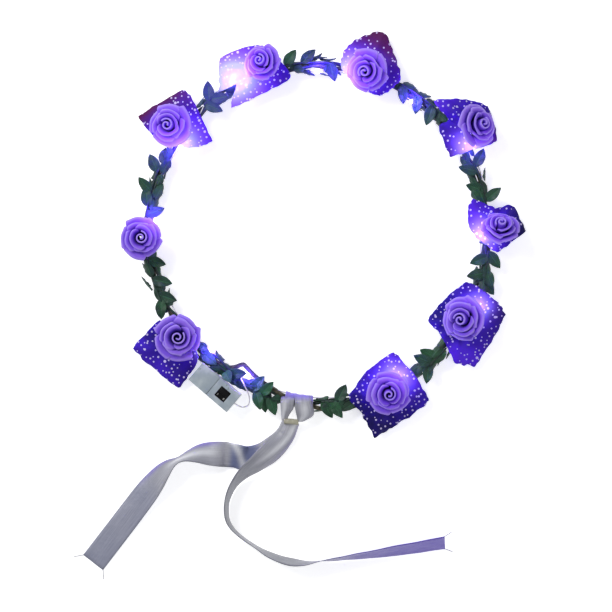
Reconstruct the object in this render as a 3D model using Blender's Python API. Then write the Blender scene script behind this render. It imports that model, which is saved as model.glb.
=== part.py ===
"""A flower crown with a string of lights, lying flat on a table, in metres with +Z up.

Two wires are twisted into a ring. Sprigs of leaves, squares of printed ribbon and foam roses sit on it. A
string of lights runs along the ring to a battery box beside it, and a satin ribbon is looped over the ring's
lower side. The origin is the middle of the head opening, on the table.
"""

import math

import bmesh
import bpy
from mathutils import Matrix, Vector

MM = 0.001

# ---- Driving dimensions ----

# The ring that the two wires make. It is bent by hand: a little out of round, and dented at the lower left.
RING_RADIUS = 101 * MM
RING_SHIFT, RING_SHIFT_AT = 1.5 * MM, 60
RING_DENT, RING_DENT_AT = 4 * MM, 232
RING_HEIGHT = 5.2 * MM

# The twisted pair.
BROWN_RADIUS = 1.3 * MM
GREEN_RADIUS = 1.15 * MM
STRAND_GAP = 0.5 * MM
TWISTS = 14
STEPS_PER_TWIST = 8
BROWN_PHASE = 86
BROWN_LEAVES_AT = 236
GREEN_START, GREEN_END = -93, 262
END_GAP = 3
LIGHT_GAP = 0.2 * MM

# The string of lights.
LIGHT_WIRE_RADIUS = 0.35 * MM
BEAD_RADIUS = 1.25 * MM
BEAD_LENGTH = 4.0 * MM
TOUCH_GAP = 0.3 * MM
# Degrees round the ring: the wire's step, and each side of a bead the straight part and the way back.
LIGHT_STEP = 4.6
BEAD_SPAN, BEAD_EASE = 1.4, 3.4
# Share of the way between two lights, at each end, in which the wire stays on the same side.
LIGHT_HOLD = 0.2

# The foam roses.
ROSE_RADIUS = 12.2 * MM
ROSE_HEIGHT = 14.5 * MM
ROSE_LOBES = 5
LOBE_SWELL = 0.05
ROSE_SIDES = 15
ROSE_GAP = 0.6 * MM
STEM_RADIUS = 0.6 * MM
STEM_GAP = 0.3 * MM

# The squares of printed ribbon.
CLOTH_THICKNESS = 0.5 * MM
CLOTH_DROOP = 0.32
CLOTH_LOWEST = 0.6 * MM
CLOTH_HOLE_GAP = 0.8 * MM
CLOTH_OVER_WIRE = 0.8 * MM
# How far to each side the cloth lies level, as a share of the bundle's radius.
CLOTH_LEVEL = 1.6

# The leaves.
LEAF_LENGTH = 12 * MM
LEAF_WIDTH = 6.6 * MM
LEAF_THICKNESS = 0.6 * MM
SPRIG_RADIUS = 0.6 * MM
LEAF_SWEEP = 2.2
STEM_PAST = 0.6
SPRIG_STEP = 3.5

# The button cells and the battery box around them.
CELL_RADIUS = 5.8 * MM
CELL_HEIGHT = 3.1 * MM
CELL_COUNT = 3
CELL_CLEARANCE = 0.2 * MM
CELL_SIDES = 20
BOX_LENGTH = 30 * MM
BOX_WALL = 0.6 * MM
BOX_FLOOR = 0.8 * MM
# The middle of the box's long edge beside the ring: angle round the ring, and distance outside its middle.
BOX_AT, BOX_BESIDE = 236.6, 5.7 * MM
BOX_TURN = -40.6
CONTACT_THICKNESS = 0.3 * MM
SPRING_HEIGHT = 0.9 * MM
SPRING_STEPS = 6
# Half the length and half the width of the contacts, as shares of a cell's radius.
CONTACT_REACH, SPRING_REACH = 0.6, 0.35
CELL_TO_LID = 0.7 * MM
LID_THICKNESS = 0.8 * MM
WIRE_HOLE_RADIUS = 0.9 * MM
WIRE_HOLE_HEIGHT = 5 * MM
WIRE_HOLE_FROM_EDGE = 6.6 * MM

# The slide switch.
KNOB_LENGTH, KNOB_WIDTH, KNOB_TALL = 6.6 * MM, 3.4 * MM, 2.4 * MM
KNOB_TRAVEL = 3.0 * MM
SWITCH_AT = 6.2 * MM
SWITCH_RIM = 0.7 * MM
SWITCH_DEPTH = 5 * MM
KNOB_BELOW_TOP = 0.3 * MM

# The satin ribbon.
RIBBON_WIDTH = 15 * MM
RIBBON_THICKNESS = 0.5 * MM
HITCH_AT = 264
HITCH_WIDTH = 17 * MM
HITCH_SIDES = 12
HITCH_ROOM = 0.9 * MM
LEG_THICKNESS = 2.2 * MM
# In millimetres from the wires' middle under the loop: the band's two edges along y, and each leg's left and
# right side at the loop, then at the band, along x.
BAND_TOP, BAND_BOTTOM = -9.5, -13.0
HITCH_LEGS = ((-9.2, -4.2, -10.3, -6.7), (0.8, 6.5, -3.3, 0.5))

# ---- Sizes that follow ----

LANE = (BROWN_RADIUS + GREEN_RADIUS + STRAND_GAP) / 2
BUNDLE_RADIUS = LANE + max(BROWN_RADIUS, GREEN_RADIUS)
LIGHT_LANE = BUNDLE_RADIUS + LIGHT_WIRE_RADIUS + LIGHT_GAP
BEAD_LANE = BUNDLE_RADIUS + BEAD_RADIUS + TOUCH_GAP
CLOTH_HEIGHT = RING_HEIGHT + LIGHT_LANE + LIGHT_WIRE_RADIUS + CLOTH_THICKNESS + CLOTH_OVER_WIRE
SPRIG_LANE = LIGHT_LANE + LIGHT_WIRE_RADIUS + TOUCH_GAP + SPRIG_RADIUS
HITCH_INNER = BUNDLE_RADIUS + BROWN_RADIUS + HITCH_ROOM
HITCH_LIFT = BROWN_RADIUS + LIGHT_GAP / 2

# Each rose: its middle's angle round the ring in degrees and distance outside the centreline in millimetres,
# then which way and how far it leans, in degrees.
ROSES = {
    "a": (143.1, 6.8, 180, 12),
    "b": (107.2, 4.9, 160, 20),
    "c": (72.8, -0.7, 215, 24),
    "d": (34.4, 12.5, 15, 36),
    "e": (2.2, 6.3, 85, 38),
    "f": (180.7, 3.1, 0, 4),
    "g": (216.3, 4.6, 20, 4),
    "h": (330.5, -1.1, 185, 28),
    "i": (294.8, 1.6, 275, 10),
}

# Each cloth square's outline as it lies pinched under its rose: direction in degrees and reach in millimetres
# from the middle of the rose.
CLOTH_OUTLINES = {
    "a": ((-18, 26.5), (69, 24.8), (160, 21.3), (205, 12), (250, 9), (312, 17)),
    "b": ((86, 10.1), (112, 13.4), (169, 26.2), (211, 31.1), (218, 20.1), (234, 32.5), (334, 18.8), (42, 9)),
    "c": ((-60, 16.2), (-12, 20.9), (25, 19.6), (68, 28), (107, 21.3), (143, 18.4), (171, 15.6), (235, 9)),
    "d": ((59, 15.6), (118, 19.9), (149, 30.2), (165, 17), (179, 22.6), (229, 23), (262, 14),
          (-30, 15.6)),
    "e": ((-30, 12.3), (-2, 17.4), (54, 17), (66, 16.4), (95, 13), (129, 23), (144, 22.6), (176, 17.4),
          (202, 13.6), (268, 14)),
    "g": ((-62, 21), (-47, 17.5), (40, 10), (139, 15.7), (194, 29.9), (268, 31.5)),
    "h": ((6, 26.2), (45, 22), (85, 22.4), (135, 16), (182, 20.8), (217, 16.3), (259, 26), (283, 29.5),
          (295, 26.9)),
    "i": ((-12, 25.9), (35, 19.5), (82, 24.3), (135, 18), (187, 24.2), (220, 20.5), (254, 28.7),
          (300, 20.5)),
}

# Each sprig: the side of the wires that its stem lies on, the way its leaves point round the ring (1 or -1),
# and its leaves. A leaf has its middle's angle round the ring in degrees, then that point's distance outside
# the ring's centreline and its height over the stem, in millimetres.
SPRIGS = {
    "1": (75, -1, ((155.5, 5.5, -0.4), (162.6, 7.0, 0.6), (167.5, 2.5, -0.4), (170.5, -6.0, 0.6))),
    "2": (75, -1, ((126.0, 7.5, -0.6), (127.8, -6.0, 0.8), (125.4, -1.0, 1.6))),
    "3": (75, -1, ((98.0, 5.5, -0.4), (92.5, 4.5, 0.6), (83.5, -8.0, -0.4))),
    "4": (75, -1, ((58.0, -5.0, -0.4), (52.0, -6.0, 0.6), (46.0, -7.0, -0.4))),
    "5": (75, 1, ((26.0, 6.0, -0.4), (24.0, -4.0, 0.6), (17.5, -4.5, -0.4), (14.2, 9.0, 0.6))),
    "6": (75, -1, ((-7.5, 5.0, -0.4), (-9.0, -6.0, 0.6), (-13.5, 4.0, -0.4), (-14.5, -8.0, 0.6),
                   (-16.5, 6.0, -1.6))),
    "7": (75, -1, ((-43.5, 1.5, -0.4), (-47.5, -9.5, 0.6), (-50.0, -7.0, 1.4), (-51.0, 5.0, -0.4))),
    "8": (100, 1, ((-80.5, -6.0, 0.6), (-82.5, 6.5, 1.6), (-85.5, 6.5, 0.2))),
    "9": (60, 1, ((256.0, 8.0, -0.8), (253.5, 10.0, -2.4), (253.0, -5.5, 3.2), (251.0, 8.0, 0.8),
                  (249.5, -7.5, 2.6))),
    "10": (75, 1, ((242.0, 1.8, -0.7), (240.0, -1.5, 2.2), (238.4, 3.0, 5.3), (227.5, 1.0, 0.4))),
    "11": (75, 1, ((204.5, 3.0, -0.4), (202.5, -3.0, 0.6), (197.0, -5.5, -0.4), (190.0, -6.5, 0.6))),
}

# Each light: angle round the ring, and its side of the wires (0 outside, 90 on top, 180 inside).
LIGHTS = (
    (243.6, 165), (299, 150), (336.5, 20), (360.5, 165), (390.0, 15), (414.5, 150),
    (438.5, 160), (449.3, 150), (477.5, 15), (506.5, 165), (534.5, 165), (587.5, 150),
)
LIGHT_WIRE_START, LIGHT_WIRE_END = 240.5, 589.5

# The brown wire's second end: it bends out of the pair, comes back under the ribbon and stops past it.
# Angle round the ring, side, and gap to the pair in millimetres.
BROWN_TAIL = (
    (238.2, 160, 0.5), (240.2, 168, 4.1), (242.0, 166, 3.9), (245.5, 162, 2.3), (249.5, 158, 0.8),
    (253.5, 138, 0.4), (257.5, 112, 0.2), (262.0, 94, 0.2), (266.5, 78, 0.2), (270.0, 52, 0.2),
    (273.0, 26, 0.3), (276.0, 10, 0.5),
)

# The lead from inside the battery box to the ring, in millimetres: distance past the box's end, distance
# ringwards of the box's long edge, and height.
LEAD = (
    (-1.5, -6.6, 5.0), (2.0, -6.5, 5.0), (5.4, -5.2, 5.0), (7.0, -2.2, 5.2), (5.2, 1.2, 6.4),
    (0.9, 4.1, 9.8), (-3.4, 6.0, 12.0), (-7.1, 7.8, 10.6),
)

# The two free ends of the ribbon, in millimetres: x and y from the wires' middle under the loop, and the gap
# under the ribbon. Then its roll, 0 lying flat and 90 on edge.
LONG_TAIL = (
    (-5.9, -15.6, 6.5, 0), (-8.1, -20.4, 6.2, 0), (-11.7, -25.6, 5.0, -14), (-17.9, -32.0, 4.1, -30),
    (-25.5, -38.0, 3.3, -46), (-32.7, -43.2, 1.8, -60), (-38.9, -50.6, 0.6, -72), (-42.3, -58.6, 0.6, -80),
    (-42.9, -66.4, 0.6, -83), (-41.3, -72.8, 0.5, -86), (-36.1, -79.0, 0.5, -90), (-27.3, -85.6, 0.5, -91),
    (-17.3, -91.4, 0.5, -85), (-6.7, -95.2, 0.8, -80), (3.3, -96.2, 0.5, -88), (11.9, -95.4, 0.5, -97),
    (20.9, -94.2, 0.9, -104), (32.3, -92.6, 0.6, -110), (48.7, -90.4, 0.5, -118), (67.3, -87.6, 0.5, -124),
    (87.1, -84.4, 0.3, -127),
)
SHORT_TAIL = (
    (-5.7, -15.6, 4.5, 0), (-8.1, -20.6, 3.0, 0), (-13.3, -26.6, 1.6, 0), (-21.3, -32.6, 0.8, 0),
    (-30.3, -34.8, 0.4, -4), (-38.3, -33.0, 0.9, -14), (-46.9, -32.0, 2.1, 10), (-55.7, -31.6, 0.8, 34),
    (-64.3, -32.4, 0.3, 64), (-72.1, -35.2, 0.4, 80), (-79.3, -40.6, 0.4, 56), (-85.7, -48.0, 0.4, 32),
    (-94.5, -59.4, 0.4, 12), (-105.7, -74.2, 0.4, 2), (-123.4, -97.2, 0.3, 0),
)
TAIL_STEPS = 3


# ---- Helpers ----


def clear_scene():
    for thing in list(bpy.data.objects):
        bpy.data.objects.remove(thing, do_unlink=True)


def material(name, colour, roughness, metallic=0.0):
    """A Principled material; colour is linear red, green and blue."""
    made = bpy.data.materials.new(name)
    made.use_nodes = True
    shader = made.node_tree.nodes["Principled BSDF"]
    shader.inputs["Base Color"].default_value = (*colour, 1.0)
    shader.inputs["Roughness"].default_value = roughness
    shader.inputs["Metallic"].default_value = metallic
    made.diffuse_color = (*colour, 1.0)
    return made


def add_object(name, data, look):
    data.materials.append(look)
    thing = bpy.data.objects.new(name, data)
    bpy.context.scene.collection.objects.link(thing)
    return thing


def mesh_object(name, shape, look, smooth=True):
    """Makes an object from a bmesh and frees the bmesh."""
    bmesh.ops.recalc_face_normals(shape, faces=shape.faces[:])
    data = bpy.data.meshes.new(name)
    shape.to_mesh(data)
    shape.free()
    if smooth:
        data.shade_smooth()
        data.set_sharp_from_angle(angle=math.radians(35))
    return add_object(name, data, look)


def tube(name, points, radius, look, bevel_resolution=1):
    """A wire through the points, with closed ends."""
    data = bpy.data.curves.new(name, "CURVE")
    data.dimensions = "3D"
    data.bevel_depth = radius
    data.bevel_resolution = bevel_resolution
    data.use_fill_caps = True
    line = data.splines.new("POLY")
    line.points.add(len(points) - 1)
    for spot, point in zip(line.points, points):
        spot.co = (*point, 1.0)
    return add_object(name, data, look)


def helper(thing):
    """Marks a cutter or a joined shape, which isn't a piece of its own."""
    thing.hide_render = True
    thing.display_type = "WIRE"
    return thing


def boolean(thing, other, operation):
    change = thing.modifiers.new(f"{operation} {other.name}", "BOOLEAN")
    change.operation = operation
    change.object = other
    change.solver = "EXACT"


def box_shape(low, high):
    """A bmesh box between two corners."""
    low, high = Vector(low), Vector(high)
    shape = bmesh.new()
    place = Matrix.Translation((low + high) / 2) @ Matrix.Diagonal((*(high - low), 1.0))
    bmesh.ops.create_cube(shape, size=1.0, matrix=place)
    return shape


def add_loop(shape, points):
    return [shape.verts.new(point) for point in points]


def bridge(shape, first, second):
    """Quads between two closed loops of as many vertices."""
    count = len(first)
    for index in range(count):
        after = (index + 1) % count
        shape.faces.new((first[index], first[after], second[after], second[index]))


def direction(degrees):
    return Vector((math.cos(math.radians(degrees)), math.sin(math.radians(degrees)), 0))


def smooth_line(keys, steps):
    """Points of a Catmull-Rom curve through the keys, which are tuples of any length."""
    found = []
    for index in range(len(keys) - 1):
        before = keys[max(index - 1, 0)]
        start, end = keys[index], keys[index + 1]
        after = keys[min(index + 2, len(keys) - 1)]
        for step in range(steps):
            share = step / steps
            found.append(
                tuple(
                    0.5 * (2 * b + (c - a) * share + (2 * a - 5 * b + 4 * c - d) * share**2
                           + (3 * b - a - 3 * c + d) * share**3)
                    for a, b, c, d in zip(before, start, end, after)
                )
            )
    found.append(keys[-1])
    return found


# ---- The ring ----


def ring_radius(angle):
    """Distance of the wires' middle from the origin, at an angle round the ring in degrees."""
    shift = RING_SHIFT * math.cos(math.radians(angle - RING_SHIFT_AT))
    dent = RING_DENT * max(0.0, math.cos(math.radians(angle - RING_DENT_AT))) ** 8
    return RING_RADIUS + shift - dent


def by_ring(angle, side, reach):
    """A point beside the wires: side 0 is outside the ring, 90 on top and 180 inside."""
    out = reach * math.cos(math.radians(side))
    up = reach * math.sin(math.radians(side))
    return direction(angle) * (ring_radius(angle) + out) + Vector((0, 0, RING_HEIGHT + up))


def angles_between(start, end, step):
    count = max(1, round((end - start) / step))
    return [start + (end - start) * index / count for index in range(count + 1)]


def strand_points(start, end, phase):
    step = 360 / TWISTS / STEPS_PER_TWIST
    return [by_ring(angle, TWISTS * angle + phase, LANE) for angle in angles_between(start, end, step)]


def make_wires():
    brown = material("brown paper wire", (0.10, 0.085, 0.035), 0.85)
    green = material("green vine", (0.02, 0.10, 0.045), 0.6)
    last_side = (TWISTS * BROWN_LEAVES_AT + BROWN_PHASE) % 360
    beside = BUNDLE_RADIUS + BROWN_RADIUS
    keys = [(BROWN_LEAVES_AT, last_side, LANE)]
    keys += [(angle, side, beside + gap * MM) for angle, side, gap in BROWN_TAIL]
    bent = [by_ring(*key) for key in smooth_line(keys, 2)]
    brown_start = BROWN_TAIL[-1][0] - 360 + END_GAP
    brown_points = strand_points(brown_start, BROWN_LEAVES_AT, BROWN_PHASE)
    tube("brown_wire", brown_points + bent[1:], BROWN_RADIUS, brown)
    tube("green_strand", strand_points(GREEN_START, GREEN_END, BROWN_PHASE + 180), GREEN_RADIUS, green)


# ---- The lights ----


def light_side(angle):
    """Side and reach of the light wire: it goes round to each light's side, and stands off further there."""
    spots = [(LIGHT_WIRE_START, LIGHTS[0][1]), *LIGHTS, (LIGHT_WIRE_END, LIGHTS[-1][1])]
    for (start, from_side), (end, to_side) in zip(spots, spots[1:]):
        if angle <= end:
            break
    share = (angle - start) / (end - start)
    share = min(1.0, max(0.0, (share - LIGHT_HOLD) / (1 - 2 * LIGHT_HOLD)))
    side = from_side + (to_side - from_side) * share * share * (3 - 2 * share)
    nearest = min(abs(angle - spot) for spot, _ in LIGHTS)
    lift = min(1.0, max(0.0, (BEAD_EASE - nearest) / (BEAD_EASE - BEAD_SPAN)))
    return side, LIGHT_LANE + (BEAD_LANE - LIGHT_LANE) * lift


def ring_route():
    """Points of the light wire along the ring, with close ones at each bead."""
    angles = angles_between(LIGHT_WIRE_START, LIGHT_WIRE_END, LIGHT_STEP)
    for spot, _ in LIGHTS:
        angles = [angle for angle in angles if abs(angle - spot) > BEAD_EASE]
        angles += [spot - BEAD_EASE, spot - BEAD_SPAN, spot + BEAD_SPAN, spot + BEAD_EASE]
    angles = sorted(angle for angle in set(angles) if LIGHT_WIRE_START <= angle <= LIGHT_WIRE_END)
    return [by_ring(angle, *light_side(angle)) for angle in angles]


def make_lights():
    copper = material("light wire", (0.62, 0.58, 0.62), 0.35, 0.6)
    resin = material("light bead", (0.55, 0.35, 1.0), 0.2)
    place = box_place()
    edge = Vector((BOX_LENGTH / 2, BOX_WIDTH / 2, 0))
    lead = [place @ (edge + Vector(point) * MM) for point in LEAD]
    tube("light_wire", lead + ring_route(), LIGHT_WIRE_RADIUS, copper, 0)
    hole = LIGHT_WIRE_RADIUS + TOUCH_GAP
    profile = (
        (hole, -BEAD_LENGTH / 2), (BEAD_RADIUS, -BEAD_LENGTH / 5),
        (BEAD_RADIUS, BEAD_LENGTH / 5), (hole, BEAD_LENGTH / 2),
    )
    for number, (angle, _) in enumerate(LIGHTS, start=1):
        side, reach = light_side(angle)
        before = by_ring(angle - BEAD_SPAN, side, reach)
        after = by_ring(angle + BEAD_SPAN, side, reach)
        turn = (after - before).to_track_quat("Z", "Y").to_matrix().to_4x4()
        place = Matrix.Translation((before + after) / 2) @ turn
        shape = bmesh.new()
        loops = []
        for radius, along in profile:
            corners = [Vector((*(direction(45 * k) * radius).xy, along)) for k in range(8)]
            loops.append(add_loop(shape, [place @ corner for corner in corners]))
        for first, second in zip(loops, loops[1:] + loops[:1]):
            bridge(shape, first, second)
        mesh_object(f"light_bead_{number}", shape, resin)


# ---- The roses ----


# A bloom's turned outline: radius as a share of the rose's radius, height as a share of its height, and how
# far its lobes show.
ROSE_PROFILE = ((0.28, 0.0, 0), (0.72, 0.17, 0.5), (0.98, 0.5, 1), (0.88, 0.76, 1), (0.62, 0.84, 0.6),
                (0.5, 0.68, 0), (0.42, 0.92, 0), (0.2, 1.0, 0))


def rose_middle(key):
    angle, aside = ROSES[key][:2]
    return direction(angle) * (ring_radius(angle) + aside * MM)


def rose_frame(key):
    """Where a rose's base sits, clear of the cloth however it leans, and the direction that it faces."""
    towards, lean = ROSES[key][2:]
    tilt = math.radians(lean)
    axis = direction(towards) * math.sin(tilt) + Vector((0, 0, math.cos(tilt)))
    dip = max(
        radius * ROSE_RADIUS * math.sin(tilt) - height * ROSE_HEIGHT * math.cos(tilt)
        for radius, height, _ in ROSE_PROFILE
    )
    base = rose_middle(key) - direction(towards) * ROSE_HEIGHT / 2 * math.sin(tilt)
    base.z = CLOTH_HEIGHT + CLOTH_THICKNESS / 2 + ROSE_GAP + dip
    return base, axis


def make_roses():
    foam = material("violet foam", (0.25, 0.12, 0.62), 0.8)
    for key in ROSES:
        base, axis = rose_frame(key)
        place = Matrix.Translation(base) @ axis.to_track_quat("Z", "Y").to_matrix().to_4x4()
        stem_end = RING_HEIGHT + LIGHT_LANE + LIGHT_WIRE_RADIUS + STEM_GAP
        drop = (base.z - stem_end) / axis.z
        rings = [(STEM_RADIUS, -drop, 0), (STEM_RADIUS, 0.0, 0)]
        rings += [(share * ROSE_RADIUS, height * ROSE_HEIGHT, lobe) for share, height, lobe in ROSE_PROFILE]
        shape = bmesh.new()
        loops = []
        for radius, height, lobe in rings:
            corners = []
            for index in range(ROSE_SIDES):
                angle = 360 * index / ROSE_SIDES
                swell = 1 + LOBE_SWELL * lobe * math.cos(math.radians(ROSE_LOBES * angle))
                corners.append(Vector((*(direction(angle) * radius * swell).xy, height)))
            loops.append(add_loop(shape, [place @ corner for corner in corners]))
        for first, second in zip(loops, loops[1:]):
            bridge(shape, first, second)
        shape.faces.new(loops[0])
        shape.faces.new(loops[-1])
        mesh_object(f"rose_{key}", shape, foam)


# ---- The cloth squares ----


def cloth_height(point):
    """The cloth lies over the wires, and droops on both sides of them."""
    angle = math.degrees(math.atan2(point.y, point.x))
    aside = abs(Vector((point.x, point.y)).length - ring_radius(angle))
    droop = CLOTH_DROOP * max(0.0, aside - CLOTH_LEVEL * BUNDLE_RADIUS)
    return max(CLOTH_LOWEST, CLOTH_HEIGHT - droop)


def make_cloth():
    print_look = material("printed ribbon", (0.035, 0.02, 0.22), 0.6)
    for key, outline in CLOTH_OUTLINES.items():
        middle = rose_middle(key)
        base, axis = rose_frame(key)
        pinch = base
        for _ in range(4):
            pinch = base - axis * ((base.z - cloth_height(pinch)) / axis.z)
        corners = [middle + direction(towards) * reach * MM for towards, reach in outline]
        edge = []
        for index, corner in enumerate(corners):
            after = corners[(index + 1) % len(corners)]
            edge += [corner, (corner + after) / 2]
        hole = STEM_RADIUS / axis.z + CLOTH_HOLE_GAP
        shape = bmesh.new()
        layers = []
        for lift in (CLOTH_THICKNESS / 2, -CLOTH_THICKNESS / 2):
            loops = []
            for share in (0.0, 0.5, 1.0):
                ring = []
                for point in edge:
                    aim = point - pinch
                    aim.z = 0
                    inner = pinch + aim.normalized() * hole
                    spot = inner.lerp(point, share)
                    spot.z = cloth_height(spot) + lift
                    ring.append(spot)
                loops.append(add_loop(shape, ring))
            bridge(shape, loops[0], loops[1])
            bridge(shape, loops[1], loops[2])
            layers.append(loops)
        bridge(shape, layers[0][0], layers[1][0])
        bridge(shape, layers[0][2], layers[1][2])
        mesh_object(f"cloth_square_{key}", shape, print_look)


# ---- The leaves ----


# Half of a leaf's outline: share of the way from root to tip, and share of the half width.
LEAF_OUTLINE = ((0.0, 0.16), (0.22, 0.8), (0.5, 1.0), (0.78, 0.66), (1.0, 0.0))


def leaf_shape(root, tip, width, thickness):
    """A flat oval leaf with a pointed tip, from root to tip."""
    along = tip - root
    side = Vector((0, 0, 1)).cross(along).normalized() * width / 2
    up = along.cross(side).normalized() * thickness / 2
    rim = [root + along * share + side * half for share, half in LEAF_OUTLINE]
    rim += [root + along * share - side * half for share, half in reversed(LEAF_OUTLINE[:-1])]
    shape = bmesh.new()
    top = add_loop(shape, [point + up for point in rim])
    bottom = add_loop(shape, [point - up for point in rim])
    bridge(shape, top, bottom)
    shape.faces.new(top)
    shape.faces.new(bottom)
    return shape


def make_sprigs():
    leaf_look = material("green leaf", (0.03, 0.17, 0.06), 0.55)
    for key, (stem_side, way, leaves) in SPRIGS.items():
        roots = [angle - way * LEAF_SWEEP for angle, _, _ in leaves]
        ends = min(roots) - STEM_PAST, max(roots) + STEM_PAST
        points = [by_ring(angle, stem_side, SPRIG_LANE) for angle in angles_between(*ends, SPRIG_STEP)]
        sprig = tube(f"leaf_sprig_{key}", points, SPRIG_RADIUS, leaf_look)
        sprig = mesh_from(sprig)
        for index, (angle, aside, lift) in enumerate(leaves):
            root = by_ring(roots[index], stem_side, SPRIG_LANE)
            middle = by_ring(angle, 0, aside * MM)
            middle.z = root.z + lift * MM
            heading = (middle - root).normalized()
            tip = root + heading * LEAF_LENGTH
            shape = leaf_shape(root - heading * SPRIG_RADIUS, tip, LEAF_WIDTH, LEAF_THICKNESS)
            leaf = helper(mesh_object(f"{sprig.name} leaf {index}", shape, leaf_look))
            boolean(sprig, leaf, "UNION")


def mesh_from(curve):
    """Swaps a curve object for a mesh object of its shape, which a Boolean can change."""
    name = curve.name
    solid = bpy.data.meshes.new_from_object(curve.evaluated_get(bpy.context.evaluated_depsgraph_get()))
    bpy.data.objects.remove(curve, do_unlink=True)
    thing = bpy.data.objects.new(name, solid)
    bpy.context.scene.collection.objects.link(thing)
    return thing


# ---- The battery box ----

BOX_INNER = 2 * (CELL_RADIUS + CELL_CLEARANCE)
BOX_WIDTH = BOX_INNER + 2 * BOX_WALL
SPRING_Z = BOX_FLOOR + TOUCH_GAP
CELL_Z = SPRING_Z + SPRING_HEIGHT + TOUCH_GAP
STACK_HEIGHT = CELL_COUNT * CELL_HEIGHT + (CELL_COUNT - 1) * TOUCH_GAP
RIM_Z = CELL_Z + STACK_HEIGHT + CELL_TO_LID
LID_Z = RIM_Z + TOUCH_GAP
BOX_TOP = LID_Z + LID_THICKNESS
BAY_START = -BOX_LENGTH / 2 + BOX_WALL
CONTACT_SLOT = CONTACT_THICKNESS + 2 * TOUCH_GAP
BAY_END = BAY_START + BOX_INNER + CONTACT_SLOT
SEAM = BAY_END + BOX_WALL / 2
CELL_MIDDLE = BAY_START + BOX_INNER / 2
KNOB_START = KNOB_TRAVEL / 2
WINDOW_LENGTH = KNOB_LENGTH + 2 * TOUCH_GAP
WINDOW_WIDTH = KNOB_WIDTH + KNOB_TRAVEL + 2 * TOUCH_GAP


def box_place():
    """The battery box's place: its long edge stays beside the ring however wide the box is."""
    turn = Matrix.Rotation(math.radians(BOX_TURN), 4, "Z")
    edge = direction(BOX_AT) * (ring_radius(BOX_AT) + BOX_BESIDE)
    return Matrix.Translation(edge - turn @ Vector((0, BOX_WIDTH / 2, 0))) @ turn


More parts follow.
